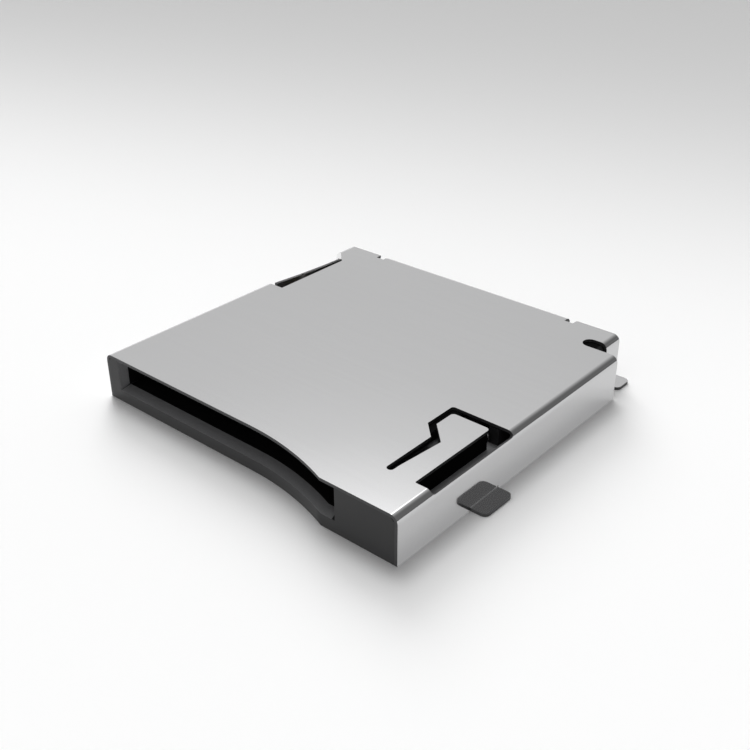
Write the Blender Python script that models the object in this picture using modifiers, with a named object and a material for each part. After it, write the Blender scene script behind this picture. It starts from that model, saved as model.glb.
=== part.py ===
"""Push-push memory card socket: a folded steel shell over a moulded housing.

The card goes in at the front (-Y) over nine spring contacts. A slider beside the
card carries a heart-shaped cam track; a bent wire rod, pinned in the housing,
follows the track, and a coil spring behind the slider pushes the card out again.
Metres, +Z up, board plane at z = 0. Depths (Y) are measured from the front plane
of the block beside the mouth; one empty puts the whole at the middle of its box.
"""
import math

import bmesh
import bpy
from mathutils import Matrix, Vector

MM = 0.001

# Card that the socket takes
CARD_WIDTH = 24.0 * MM
CARD_LENGTH = 32.0 * MM
CARD_HEIGHT = 2.1 * MM
CARD_CORNER = 4.0 * MM
CARD_SHOWS = 3.65 * MM
CARD_SIDE_PLAY = 0.1 * MM
CARD_HEIGHT_PLAY = 0.2 * MM
CARD_END_PLAY = 0.25 * MM

# Shell: one folded sheet
SHEET = 0.25 * MM
BEND_RADIUS = 0.6 * MM
MOUTH_SET_BACK = 1.47 * MM
SWEEP_LENGTH = 8.07 * MM
SWEEP_FROM_BLOCK = 1.13 * MM
STEP_IN = 1.7 * MM
STEP_LENGTH = 2.05 * MM
RELIEF_WIDTH = 1.3 * MM
RELIEF_REACH = 1.2 * MM
FLANGE_PROUD = 0.3 * MM
FLANGE_RADIUS = 0.5 * MM
FLANGE_HEIGHT = 2.3 * MM
FLANGE_LEFT_INSET = 4.7 * MM
FLANGE_RIGHT_INSET = 6.6 * MM
NOTCH_WIDTH = 0.8 * MM
NOTCH_DEPTH = 0.6 * MM
NOTCH_CORNER = 0.2 * MM

# Window in the shell for the write-protect switch
WINDOW_LENGTH = 9.26 * MM
WINDOW_FROM_REAR = 2.04 * MM
WINDOW_INSET = 1.3 * MM
WINDOW_CORNER = 0.2 * MM

# Solder tabs
TAB_REACH = 1.35 * MM
TAB_FILLET = 0.06 * MM
TAB_CORNER = 0.45 * MM
TAB_NOTCH = 0.1 * MM
TAB_NOTCH_TOP = 0.02 * MM
FRONT_TAB_FRONT = 7.75 * MM
FRONT_TAB_LENGTH = 3.25 * MM
REAR_TAB_LENGTH = 1.9 * MM

# Spring finger and the slot round it
SLOT_FRONT = 3.6 * MM
SLOT_WIDTH = 0.57 * MM
SLOT_REAR_WIDTH = 0.75 * MM
SLOT_SIDE_DROP = 0.38 * MM
SLOT_CORNER = 0.25 * MM
FINGER_LENGTH = 8.4 * MM
FINGER_NECK = 1.98 * MM
FINGER_NECK_REAR = 1.6 * MM
FINGER_HEAD = 3.25 * MM
FINGER_HEAD_LENGTH = 1.9 * MM
FINGER_CORNER = 0.3 * MM
FINGER_FLARE_FRONT = 0.8 * MM

# Housing: one moulding
SHELL_CLEARANCE = 0.05 * MM
FLOOR = 1.35 * MM
LIP_HEIGHT = 1.0 * MM
LEAD_IN_DEPTH = 0.8 * MM
LEAD_IN_SIDE = 0.15 * MM
REAR_WALL = 2.1 * MM
LEFT_WALL = 1.2 * MM
MECHANISM_FRONT = 3.4 * MM
PARTITION = 0.85 * MM
RIB = 0.5 * MM
RIB_REAR = 0.85 * MM
RIB_LENGTH = 8.3 * MM
RIB_GAP = 0.9 * MM
LEDGE_HEIGHT = 2.33 * MM
LEDGE_WIDTH = 1.25 * MM
TRACK_FLOOR = 0.95 * MM
CARD_RAIL = 1.1 * MM
CARD_RAIL_HEIGHT = 0.65 * MM
CARD_RAIL_FRONT = 5.0 * MM
CARD_RAIL_LENGTH = 7.6 * MM
BAY_FLOOR = 1.2 * MM
BAY_FRONT_INSET = 0.4 * MM
BAY_BEHIND_WINDOW = 0.05 * MM
CHAMFER = 0.25 * MM
REAR_CHAMFER = 0.15 * MM

# Slider, with its arm and cam track
SLIDE_PLAY = 0.1 * MM
STROKE = 4.5 * MM
LATCH_BACK = 0.5 * MM
SLIDER_WIDTH = 2.4 * MM
SLIDER_HEIGHT = 1.9 * MM
SLIDER_BLOCK = 8.9 * MM
BAR_WIDTH = 0.85 * MM
ARM_IN_CARD = 2.3 * MM
ARM_HEIGHT = 1.85 * MM
ARM_TIP = 2.25 * MM
ARM_LIFT = 0.15 * MM
CAM_SWING = 0.75 * MM
CAM_DEPTH = 0.55 * MM
CAM_STEP = 0.15 * MM
CAM_END_ROOM = 0.06 * MM
CAM_POCKET = 0.04 * MM

# Link rod
ROD_WIRE = 0.4 * MM
ROD_LENGTH = 8.4 * MM
ROD_PIN = 2.2 * MM
ROD_PIN_DEPTH = 1.5 * MM
ROD_PLAY = 0.05 * MM
ROD_CORNER = 0.35 * MM

# Coil spring
SPRING_DIAMETER = 1.35 * MM
SPRING_WIRE = 0.25 * MM
SPRING_TURNS = 12
SPRING_WALL = 2.15 * MM
SPRING_GAP = 0.05 * MM
SPRING_CLOSE_TURN = 0.35

# Signal contacts
CONTACT_SHEET = 0.2 * MM
CONTACT_WIDTH = 0.8 * MM
CONTACT_TIP_WIDTH = 0.5 * MM
CONTACT_END_PITCH = 1.7 * MM
CONTACT_FIRST_EDGE = 3.1 * MM
CONTACT_LAST_EDGE = 1.7 * MM
CONTACT_SEAT = 0.7 * MM
CONTACT_CREST = 2.35 * MM
CONTACT_BEAM = 4.3 * MM
CONTACT_TIP = 0.9 * MM
CONTACT_TIP_DROP = 0.45 * MM
CREST_FROM_STOP = 5.1 * MM
CREST_SET_FORWARD = 1.6 * MM
TAIL_REACH = 1.5 * MM
TAIL_FOOT = 0.75 * MM
TAIL_RAMP = 0.35 * MM
GROOVE_PLAY = 0.07 * MM
BEAM_SLOT_PLAY = 0.2 * MM

# Switch contacts
DETECT_WIDTH = 0.6 * MM
DETECT_FROM_WALL = 0.65 * MM
DETECT_CREST = 2.55 * MM
DETECT_BEAM = 2.9 * MM
DETECT_FROM_STOP = 3.7 * MM
POST_TAIL_SHIFT = 1.15 * MM
LEAF_SHEET = 0.3 * MM
LEAF_BOTTOM = 1.6 * MM
LEAF_TOP_GAP = 0.1 * MM
LEAF_ROOT = 0.8 * MM
LEAF_FROM_CHANNEL = 0.35 * MM
LEAF_SPLAY = 0.75 * MM
LEAF_TIP_GAP = 0.3 * MM
LEAF_DIMPLE = 0.7 * MM
LEAF_DIMPLE_FROM_TIP = 2.7 * MM
LEAF_DIMPLE_SPAN = 0.8 * MM
POST_SHEET = 0.25 * MM
POST_TOP = 3.1 * MM
POST_WIDTH = 1.0 * MM
POST_FROM_CHANNEL = 0.42 * MM
FOOT_REACH = 1.0 * MM
LEAF_FOOT_GAP = 1.3 * MM

# Lock leaf on the slider
LOCK_SHEET = 0.12 * MM
LOCK_HEIGHT = 0.8 * MM
LOCK_LENGTH = 4.1 * MM
LOCK_FROM_REAR = 6.15 * MM
LOCK_FLAT = 1.2 * MM
LOCK_BUMP_FROM_TIP = 1.3 * MM
LOCK_SLIT_DEPTH = 0.45 * MM
LOCK_ROOM = 1.0 * MM
LOCK_PLAY = 0.06 * MM

# Facets, and how far cutters reach past the surface that they cut
BEND_STEPS = 6
CORNER_STEPS = 4
SWEEP_STEPS = 12
COIL_STEPS = 10
NEARLY_HALF = 0.49
WELD = 0.003 * MM
OVER = 1.0 * MM

# Sizes worked out from those above
MECHANISM_WIDTH = PARTITION + SLIDER_WIDTH + 2 * SLIDE_PLAY + RIB + LEDGE_WIDTH
CHANNEL_WIDTH = CARD_WIDTH + 2 * CARD_SIDE_PLAY
HOUSING_WIDTH = LEFT_WALL + CHANNEL_WIDTH + MECHANISM_WIDTH
HOUSING_SIDE = HOUSING_WIDTH / 2
HALF_WIDTH = HOUSING_SIDE + SHELL_CLEARANCE + SHEET
STEPPED_HALF = HALF_WIDTH - STEP_IN
STEPPED_SIDE = STEPPED_HALF - SHEET - SHELL_CLEARANCE
SHELL_HEIGHT = FLOOR + CARD_HEIGHT + CARD_HEIGHT_PLAY + SHEET
HOUSING_TOP = SHELL_HEIGHT - SHEET - SHELL_CLEARANCE
CHANNEL_RIGHT = HOUSING_SIDE - MECHANISM_WIDTH
CHANNEL_LEFT = CHANNEL_RIGHT - CHANNEL_WIDTH
TRACK_LEFT = CHANNEL_RIGHT + PARTITION
TRACK_RIGHT = TRACK_LEFT + SLIDER_WIDTH + 2 * SLIDE_PLAY
RIB_FACE = TRACK_RIGHT + RIB

CARD_STOP = CARD_LENGTH - CARD_SHOWS
HOUSING_REAR = CARD_STOP + REAR_WALL
REAR_EDGE = HOUSING_REAR + 2 * SHELL_CLEARANCE + SHEET - FLANGE_PROUD
TOTAL_DEPTH = REAR_EDGE + TAIL_REACH
STEP_FRONT = REAR_EDGE - STEP_LENGTH
LONG_WALL_REAR = STEP_FRONT - RELIEF_WIDTH
RELIEF_INNER = STEPPED_HALF - BEND_RADIUS - RELIEF_REACH
SWEEP_END = CHANNEL_RIGHT - SWEEP_FROM_BLOCK
SWEEP_START = SWEEP_END - SWEEP_LENGTH
FLANGE_LEFT = FLANGE_LEFT_INSET - HALF_WIDTH
FLANGE_RIGHT = HALF_WIDTH - FLANGE_RIGHT_INSET
FLANGE_BEND = REAR_EDGE + FLANGE_PROUD - FLANGE_RADIUS
REAR_TAB_FRONT = REAR_EDGE - REAR_TAB_LENGTH
WINDOW_REAR = REAR_EDGE - WINDOW_FROM_REAR
WINDOW_FRONT = WINDOW_REAR - WINDOW_LENGTH
BAY_FRONT = WINDOW_FRONT + BAY_FRONT_INSET
BAY_REAR = WINDOW_REAR + BAY_BEHIND_WINDOW

SLIDER_LEFT = TRACK_LEFT + SLIDE_PLAY
SLIDER_RIGHT = SLIDER_LEFT + SLIDER_WIDTH
SLIDER_BOTTOM = TRACK_FLOOR + SLIDE_PLAY
SLIDER_TOP = SLIDER_BOTTOM + SLIDER_HEIGHT
SLIDER_MIDDLE = (SLIDER_BOTTOM + SLIDER_TOP) / 2
SLIDER_FRONT = MECHANISM_FRONT + SLIDE_PLAY
BLOCK_REAR = SLIDER_FRONT + SLIDER_BLOCK
BAR_RIGHT = SLIDER_LEFT + BAR_WIDTH
ARM_LEFT = CHANNEL_RIGHT - CARD_SIDE_PLAY - ARM_IN_CARD
ARM_TIP_FRONT = CARD_STOP - CARD_END_PLAY - STROKE - (CARD_CORNER - ARM_IN_CARD)
SLIDER_REAR = ARM_TIP_FRONT + ARM_TIP
ARM_SWEEP = SLIDER_REAR + STROKE + 2 * SLIDE_PLAY
CAM_X = (SLIDER_LEFT + SLIDER_RIGHT) / 2
CAM_START = ROD_PIN + ROD_LENGTH
CAM_WIDTH = ROD_WIRE + 2 * ROD_PLAY
ROD_Z = (SLIDER_TOP + SHELL_HEIGHT - SHEET) / 2
SPRING_SEAT = CARD_STOP - SPRING_WALL
LOCK_SLIT = SLIDER_REAR - LOCK_FROM_REAR
LOCK_FRONT = LOCK_SLIT - LOCK_LENGTH

CONTACT_FIRST_X = CHANNEL_RIGHT - CARD_SIDE_PLAY - CONTACT_FIRST_EDGE
CONTACT_LAST_X = CHANNEL_LEFT + CARD_SIDE_PLAY + CONTACT_LAST_EDGE
CONTACT_PITCH = (CONTACT_FIRST_X - CONTACT_LAST_X - CONTACT_END_PITCH) / 7
CONTACT_CREST_AT = CARD_STOP - CREST_FROM_STOP
DETECT_X = CHANNEL_LEFT + DETECT_FROM_WALL
DETECT_CREST_AT = CARD_STOP - DETECT_FROM_STOP
LEAF_X = CHANNEL_LEFT - LEAF_FROM_CHANNEL
LEAF_TIP = BAY_FRONT + LEAF_TIP_GAP
LEAF_REAR = BAY_REAR + LEAF_ROOT
LEAF_TOP = HOUSING_TOP - LEAF_TOP_GAP
LEAF_FOOT_REAR = BAY_REAR - LEAF_FOOT_GAP
POST_X = CHANNEL_LEFT - POST_FROM_CHANNEL


# Scene and objects

def clear_scene():
    for item in list(bpy.data.objects):
        bpy.data.objects.remove(item, do_unlink=True)


def new_collection(name, parent=None):
    collection = bpy.data.collections.new(name)
    (parent or bpy.context.scene.collection).children.link(collection)
    return collection


def new_material(name, colour, roughness, metallic):
    material = bpy.data.materials.new(name)
    material.use_nodes = True
    shader = material.node_tree.nodes["Principled BSDF"]
    shader.inputs["Base Color"].default_value = (*colour, 1.0)
    shader.inputs["Roughness"].default_value = roughness
    shader.inputs["Metallic"].default_value = metallic
    return material


def add_object(name, mesh, collection, place=(0.0, 0.0, 0.0)):
    item = bpy.data.objects.new(name, mesh)
    item.location = place
    collection.objects.link(item)
    return item


def add_cutter(name, mesh, collection):
    cutter = add_object(name, mesh, collection)
    cutter.hide_render = True
    cutter.display_type = "WIRE"
    return cutter


def finish_part(item, datum, material):
    """Apply the modifiers, so that the edges they make can be marked as sharp."""
    item.data = evaluated_mesh(item, item.name)
    item.modifiers.clear()
    item.parent = datum
    item.data.materials.clear()
    item.data.materials.append(material)
    item.data.shade_smooth()
    item.data.set_sharp_from_angle(angle=math.radians(35))


def evaluated_mesh(item, name):
    graph = bpy.context.evaluated_depsgraph_get()
    graph.update()
    mesh = bpy.data.meshes.new_from_object(item.evaluated_get(graph))
    mesh.name = name
    return mesh


# Outlines: lists of (x, y), with round corners worked out from their radius

def rounded(corners):
    """Closed outline from (x, y, radius) corners; a radius of 0 keeps the corner sharp."""
    points = []
    count = len(corners)
    for index, (x, y, radius) in enumerate(corners):
        here = Vector((x, y))
        if radius <= 0:
            points.append((x, y))
            continue
        before = Vector(corners[index - 1][:2]) - here
        after = Vector(corners[(index + 1) % count][:2]) - here
        half_angle = before.angle(after) / 2
        limit = NEARLY_HALF * min(before.length, after.length)
        run = min(radius / math.tan(half_angle), limit)
        true_radius = run * math.tan(half_angle)
        middle = (before.normalized() + after.normalized()).normalized()
        centre = here + middle * (true_radius / math.sin(half_angle))
        start = here + before.normalized() * run - centre
        turn = start.angle_signed(here + after.normalized() * run - centre)
        for step in range(CORNER_STEPS + 1):
            arm = Matrix.Rotation(-turn * step / CORNER_STEPS, 2) @ start
            points.append(tuple(centre + arm))
    return points


def sweep_points():
    """Arc from the mouth plane forward to the front plane, tangent to the mouth plane."""
    run = SWEEP_END - SWEEP_START
    radius = (run ** 2 + MOUTH_SET_BACK ** 2) / (2 * MOUTH_SET_BACK)
    full = math.asin(run / radius)
    points = []
    for step in range(SWEEP_STEPS + 1):
        angle = full * step / SWEEP_STEPS
        x = SWEEP_START + radius * math.sin(angle)
        y = MOUTH_SET_BACK - radius * (1 - math.cos(angle))
        points.append((x, y))
    return points


def round_bends(corners, steps=5):
    """Open path from (a, b, radius) points, with each inner bend as an arc."""
    path = [Vector(corners[0][:2])]
    for index in range(1, len(corners) - 1):
        here = Vector(corners[index][:2])
        before = Vector(corners[index - 1][:2]) - here
        after = Vector(corners[index + 1][:2]) - here
        half_angle = before.angle(after) / 2
        limit = NEARLY_HALF * min(before.length, after.length)
        run = min(corners[index][2] / math.tan(half_angle), limit)
        radius = run * math.tan(half_angle)
        middle = (before.normalized() + after.normalized()).normalized()
        centre = here + middle * (radius / math.sin(half_angle))
        start = here + before.normalized() * run - centre
        turn = start.angle_signed(here + after.normalized() * run - centre)
        for step in range(steps + 1):
            path.append(centre + Matrix.Rotation(-turn * step / steps, 2) @ start)
    path.append(Vector(corners[-1][:2]))
    return path


# Meshes

def filled_outline(name, loops, half_thickness=0.0):
    """Filled flat curve as a mesh. Filled in millimetres, whose tolerance suits it."""
    curve = bpy.data.curves.new(name, "CURVE")
    curve.dimensions = "2D"
    curve.fill_mode = "BOTH"
    curve.extrude = half_thickness / MM
    for loop in loops:
        spline = curve.splines.new("POLY")
        spline.points.add(len(loop) - 1)
        for point, (x, y) in zip(spline.points, loop):
            point.co = (x / MM, y / MM, 0.0, 1.0)
        spline.use_cyclic_u = True
    holder = bpy.data.objects.new(name, curve)
    bpy.context.scene.collection.objects.link(holder)
    mesh = evaluated_mesh(holder, name)
    bpy.data.objects.remove(holder, do_unlink=True)
    bpy.data.curves.remove(curve)
    work = bmesh.new()
    work.from_mesh(mesh)
    bmesh.ops.remove_doubles(work, verts=work.verts, dist=0.0005)
    if half_thickness:
        join_flat_faces(work)
    work.to_mesh(mesh)
    work.free()
    return mesh


def join_flat_faces(work):
    """Dissolve the edges that lie inside one plane."""
    bmesh.ops.dissolve_limit(work, angle_limit=math.radians(0.2), verts=[], edges=work.edges)


def prism(name, outline, low, high):
    """Upright solid with the given outline, between two heights."""
    mesh = filled_outline(name, [outline], (high - low) / 2)
    mesh.transform(Matrix.Translation((0, 0, (low + high) / 2)) @ Matrix.Scale(MM, 4))
    return mesh


def box(name, x_span, y_span, z_span):
    """Box between three pairs of limits."""
    low = Vector((x_span[0], y_span[0], z_span[0]))
    high = Vector((x_span[1], y_span[1], z_span[1]))
    work = bmesh.new()
    size = Matrix.Diagonal((*(high - low), 1.0))
    bmesh.ops.create_cube(work, size=1.0, matrix=Matrix.Translation((low + high) / 2) @ size)
    mesh = bpy.data.meshes.new(name)
    work.to_mesh(mesh)
    work.free()
    return mesh


def post(name, centre, radius, z_span, segments=20):
    """Upright cylinder."""
    work = bmesh.new()
    middle = (z_span[0] + z_span[1]) / 2
    bmesh.ops.create_cone(
        work, cap_ends=True, segments=segments, radius1=radius, radius2=radius,
        depth=z_span[1] - z_span[0], matrix=Matrix.Translation((*centre, middle)))
    mesh = bpy.data.meshes.new(name)
    work.to_mesh(mesh)
    work.free()
    return mesh


def leg_outline(start, end, width):
    """Outline of a straight groove from one centre to the other."""
    along = (Vector(end) - Vector(start)).normalized() * (width / 2)
    side = Vector((-along.y, along.x))
    return [tuple(Vector(start) - side), tuple(Vector(end) - side), tuple(Vector(end) + side),
            tuple(Vector(start) + side)]


def cut(item, cutters):
    """Subtract every object of a collection, and weld the doubled corners that this leaves."""
    boolean = item.modifiers.new("cuts", "BOOLEAN")
    boolean.operation = "DIFFERENCE"
    boolean.operand_type = "COLLECTION"
    boolean.collection = cutters
    weld = item.modifiers.new("weld", "WELD")
    weld.merge_threshold = WELD


def join(item, other):
    """Add another object's volume."""
    boolean = item.modifiers.new("join", "BOOLEAN")
    boolean.operation = "UNION"
    boolean.object = other


def everywhere(_centre):
    return True


def slice_flat(work, lines, axis, value, keep=everywhere):
    """Cut a flat pattern along a line of constant x (axis 0) or y (axis 1), and note it."""
    lines.append((axis, value / MM, keep))
    faces = [face for face in work.faces if keep(face.calc_center_median())]
    edges = {edge for face in faces for edge in face.edges}
    verts = {vert for face in faces for vert in face.verts}
    centre = Vector((0, 0, 0))
    centre[axis] = value / MM
    normal = Vector((0, 0, 0))
    normal[axis] = 1.0
    bmesh.ops.bisect_plane(
        work, geom=list(verts) + list(edges) + faces, dist=1e-5, plane_co=centre,
        plane_no=normal)


def join_strips(work, lines):
    """Join the faces of a flat pattern that no noted line parts."""
    strips = {}
    for face in work.faces:
        centre = face.calc_center_median()
        key = tuple(keep(centre) and centre[axis] > value for axis, value, keep in lines)
        face.material_index = strips.setdefault(key, len(strips))
    bmesh.ops.remove_doubles(work, verts=work.verts, dist=WELD / MM)
    bmesh.ops.dissolve_limit(
        work, angle_limit=math.radians(0.2), verts=work.verts, edges=work.edges,
        delimit={"MATERIAL"})
    for face in work.faces:
        face.material_index = 0


def thicken(item, thickness, offset=-1.0):
    wall = item.modifiers.new("sheet", "SOLIDIFY")
    wall.thickness = thickness
    wall.offset = offset
    wall.use_even_offset = True
    return wall


# Folding of a stamped blank

def arc_length(radius):
    return radius * math.pi / 2


def blank_x(height, half):
    """Place in the flat blank of a height on a side wall, measured round the bend."""
    drop = SHELL_HEIGHT - height
    if drop < BEND_RADIUS:
        return half - BEND_RADIUS + BEND_RADIUS * math.acos(1 - drop / BEND_RADIUS)
    return half - BEND_RADIUS + arc_length(BEND_RADIUS) + drop - BEND_RADIUS


def wrap(distance, radius):
    """Run forward and drop of a point that lies a distance past the start of a bend."""
    if distance <= 0:
        return distance, 0.0
    if distance < arc_length(radius):
        angle = distance / radius
        return radius * math.sin(angle), radius * (1 - math.cos(angle))
    return radius, radius + distance - arc_length(radius)


def tab_foot():
    """Height where a wall turns out into its solder tab."""
    return SHEET + TAB_FILLET


def in_tab(y):
    front = FRONT_TAB_FRONT - TAB_NOTCH / 2
    rear = FRONT_TAB_FRONT + FRONT_TAB_LENGTH + TAB_NOTCH / 2
    return front < y < rear or y > STEP_FRONT


def fold(point):
    """Place of a point of the flat blank in the folded shell."""
    u, v = point.x * MM, point.y * MM
    side = 1.0 if u >= 0 else -1.0
    half = STEPPED_HALF if (side > 0 and v > LONG_WALL_REAR + RELIEF_WIDTH / 2) else HALF_WIDTH
    run, drop = wrap(abs(u) - (half - BEND_RADIUS), BEND_RADIUS)
    x = half - BEND_RADIUS + run
    height = SHELL_HEIGHT - drop
    if height < tab_foot() and in_tab(v):
        out, fall = wrap(tab_foot() - height, TAB_FILLET)
        x = half + fall
        height = tab_foot() - out
    y = v
    if FLANGE_LEFT - NOTCH_CORNER < u < FLANGE_RIGHT + NOTCH_CORNER:
        back, fall = wrap(v - FLANGE_BEND, FLANGE_RADIUS)
        y = FLANGE_BEND + back
        height = height - fall
    return Vector((side * x, y, height))


def shell_outline():
    """Edge of the flat blank, from the front left corner round by the right."""
    notch_top = tab_foot() + TAB_NOTCH_TOP
    reach = arc_length(TAB_FILLET) + TAB_REACH - TAB_FILLET
    foot = blank_x(0.0, HALF_WIDTH)
    notch = blank_x(notch_top, HALF_WIDTH)
    tab = blank_x(tab_foot(), HALF_WIDTH) + reach
    step_notch = blank_x(notch_top, STEPPED_HALF)
    step_tab = blank_x(tab_foot(), STEPPED_HALF) + reach
    step_foot = blank_x(0.0, STEPPED_HALF)
    tab_front = FRONT_TAB_FRONT
    tab_rear = FRONT_TAB_FRONT + FRONT_TAB_LENGTH
    flange_end = FLANGE_BEND + arc_length(FLANGE_RADIUS) + FLANGE_HEIGHT - FLANGE_RADIUS
    notch_floor = REAR_EDGE - NOTCH_DEPTH
    inset = HALF_WIDTH - BEND_RADIUS - WINDOW_INSET
    diagonal = WINDOW_REAR - WINDOW_INSET

    def tab_corners(side, root, end, plain, front, rear, closed_rear):
        corners = [
            (side * plain, front - TAB_NOTCH, 0), (side * root, front - TAB_NOTCH, 0),
            (side * root, front, 0), (side * end, front, TAB_CORNER)]
        corners.append((side * end, rear, TAB_CORNER))
        if not closed_rear:
            corners += [
                (side * root, rear, 0), (side * root, rear + TAB_NOTCH, 0),
                (side * plain, rear + TAB_NOTCH, 0)]
        return corners

    corners = [(-foot, MOUTH_SET_BACK, 0)]
    corners += [(x, y, 0) for x, y in sweep_points()]
    corners += [(foot, 0.0, 0)]
    corners += tab_corners(1, notch, tab, foot, tab_front, tab_rear, False)
    corners += [(foot, LONG_WALL_REAR, 0)]
    relief_round = RELIEF_WIDTH * NEARLY_HALF
    corners += [
        (RELIEF_INNER, LONG_WALL_REAR, relief_round), (RELIEF_INNER, STEP_FRONT, relief_round),
        (step_foot, STEP_FRONT, 0)]
    corners += tab_corners(
        1, step_notch, step_tab, step_foot, REAR_TAB_FRONT, REAR_EDGE, True)[1:]
    corners[-4] = (step_notch, STEP_FRONT, 0)
    corners.remove((step_foot, STEP_FRONT, 0))
    corners += [
        (FLANGE_RIGHT + NOTCH_WIDTH, REAR_EDGE, NOTCH_CORNER),
        (FLANGE_RIGHT + NOTCH_WIDTH, notch_floor, 0), (FLANGE_RIGHT, notch_floor, 0),
        (FLANGE_RIGHT, flange_end, NOTCH_CORNER), (FLANGE_LEFT, flange_end, NOTCH_CORNER),
        (FLANGE_LEFT, notch_floor, 0), (FLANGE_LEFT - NOTCH_WIDTH, notch_floor, 0),
        (FLANGE_LEFT - NOTCH_WIDTH, REAR_EDGE, 0)]
    corners += [
        (-tab, REAR_EDGE, TAB_CORNER), (-tab, REAR_TAB_FRONT, TAB_CORNER),
        (-notch, REAR_TAB_FRONT, 0), (-notch, WINDOW_REAR, 0),
        (-(HALF_WIDTH - BEND_RADIUS), WINDOW_REAR, 0), (-inset, diagonal, WINDOW_CORNER),
        (-inset, WINDOW_FRONT, 0), (-foot, WINDOW_FRONT, 0)]
    corners += list(reversed(tab_corners(-1, notch, tab, foot, tab_front, tab_rear, False)))
    return rounded(corners)


def finger_slot():
    """Slot that leaves the spring finger standing, in the flat blank."""
    right = RIB_FACE
    rear = SLOT_FRONT + FINGER_LENGTH
    neck = right - FINGER_NECK
    outer = neck - SLOT_WIDTH
    head = right - FINGER_HEAD
    head_front = rear - FINGER_HEAD_LENGTH
    flare = head_front - (right - FINGER_NECK_REAR - head)
    shift = SLOT_WIDTH
    side = blank_x(SHELL_HEIGHT - SLOT_SIDE_DROP, HALF_WIDTH)
    end_round = SLOT_WIDTH * NEARLY_HALF
    return rounded([
        (outer, SLOT_FRONT, end_round),
        (neck, SLOT_FRONT, end_round),
        (neck, SLOT_FRONT + FINGER_FLARE_FRONT, 0),
        (right - FINGER_NECK_REAR, flare, 0),
        (head, head_front, 0),
        (head, rear, FINGER_CORNER),
        (right, rear, FINGER_CORNER),
        (right, SLOT_FRONT, SLOT_CORNER / 2),
        (side, SLOT_FRONT, SLOT_CORNER),
        (side, rear + SLOT_REAR_WIDTH, SLOT_CORNER),
        (head - shift, rear + SLOT_REAR_WIDTH, SLOT_CORNER),
        (head - shift, head_front - shift / 2, 0),
        (outer, head_front - shift / 2 - (outer - head + shift), 0),
    ])


def in_left(centre):
    return centre.x < 0


def in_step(centre):
    return centre.x > 0 and centre.y * MM > LONG_WALL_REAR + RELIEF_WIDTH / 2


def in_right(centre):
    return centre.x > 0 and not in_step(centre)


def in_flange(centre):
    return centre.y * MM > REAR_EDGE - NOTCH_DEPTH


def build_shell(parts):
    mesh = filled_outline("shell", [shell_outline(), finger_slot()])
    work = bmesh.new()
    work.from_mesh(mesh)
    lines = []
    slice_flat(work, lines, 0, 0.0)
    slice_flat(work, lines, 1, LONG_WALL_REAR + RELIEF_WIDTH / 2)
    slice_flat(work, lines, 1, REAR_EDGE - NOTCH_DEPTH)
    slice_flat(work, lines, 0, FLANGE_LEFT, in_flange)
    slice_flat(work, lines, 0, FLANGE_RIGHT, in_flange)
    for side, half, zone in (
            (1, HALF_WIDTH, in_right), (-1, HALF_WIDTH, in_left), (1, STEPPED_HALF, in_step)):
        for step in range(BEND_STEPS + 1):
            bend = arc_length(BEND_RADIUS) * step / BEND_STEPS
            slice_flat(work, lines, 0, side * (half - BEND_RADIUS + bend), zone)
        foot = blank_x(tab_foot(), half)
        slice_flat(work, lines, 0, side * blank_x(tab_foot() + TAB_NOTCH_TOP, half), zone)
        for step in range(BEND_STEPS // 2 + 1):
            bend = arc_length(TAB_FILLET) * step / (BEND_STEPS // 2)
            slice_flat(work, lines, 0, side * (foot + bend),
                       lambda c, zone=zone, foot=foot: zone(c) and in_tab(c.y * MM))
    for step in range(BEND_STEPS + 1):
        bend = arc_length(FLANGE_RADIUS) * step / BEND_STEPS
        slice_flat(work, lines, 1, FLANGE_BEND + bend, in_flange)
    join_strips(work, lines)
    for vert in work.verts:
        vert.co = fold(vert.co)
    bmesh.ops.recalc_face_normals(work, faces=work.faces)
    top = max(work.faces, key=lambda face: face.calc_area())
    if top.normal.z < 0:
        bmesh.ops.reverse_faces(work, faces=work.faces)
    work.to_mesh(mesh)
    work.free()
    shell = add_object("shell", mesh, parts)
    thicken(shell, SHEET)
    return shell


# Housing

def housing_outline():
    """Plan of the moulding: the inside of the shell, with its swept front."""
    front = [(x, y, 0) for x, y in sweep_points()]
    return rounded(
        [(-HOUSING_SIDE, MOUTH_SET_BACK, 0)] + front
        + [(HOUSING_SIDE, 0.0, 0), (HOUSING_SIDE, LONG_WALL_REAR, 0),
           (STEPPED_SIDE, LONG_WALL_REAR, 0), (STEPPED_SIDE, HOUSING_REAR, 0),
           (-HOUSING_SIDE, HOUSING_REAR, 0)])


def lead_in_mesh():
    """Wedge that slopes the front of the floor, along the swept front edge."""
    over = OVER / 2
    slope = (FLOOR - LIP_HEIGHT) / LEAD_IN_DEPTH
    past = LEAD_IN_DEPTH * 1.02
    stations = [(CHANNEL_LEFT - LEAD_IN_SIDE, MOUTH_SET_BACK)] + sweep_points()
    stations += [(CHANNEL_RIGHT + LEAD_IN_SIDE, 0.0)]
    work = bmesh.new()
    rings = []
    for x, y in stations:
        low = work.verts.new((x, y - over, LIP_HEIGHT - slope * over))
        inner = work.verts.new((x, y + past, LIP_HEIGHT + slope * past))
        high = work.verts.new((x, y - over, FLOOR + slope * LEAD_IN_DEPTH))
        rings.append((low, inner, high))
    for here, after in zip(rings, rings[1:]):
        for index in range(3):
            other = (index + 1) % 3
            work.faces.new((here[index], here[other], after[other], after[index]))
    work.faces.new(rings[0])
    work.faces.new(tuple(reversed(rings[-1])))
    bmesh.ops.recalc_face_normals(work, faces=work.faces)
    mesh = bpy.data.meshes.new("lead_in")
    work.to_mesh(mesh)
    work.free()
    return mesh


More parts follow.
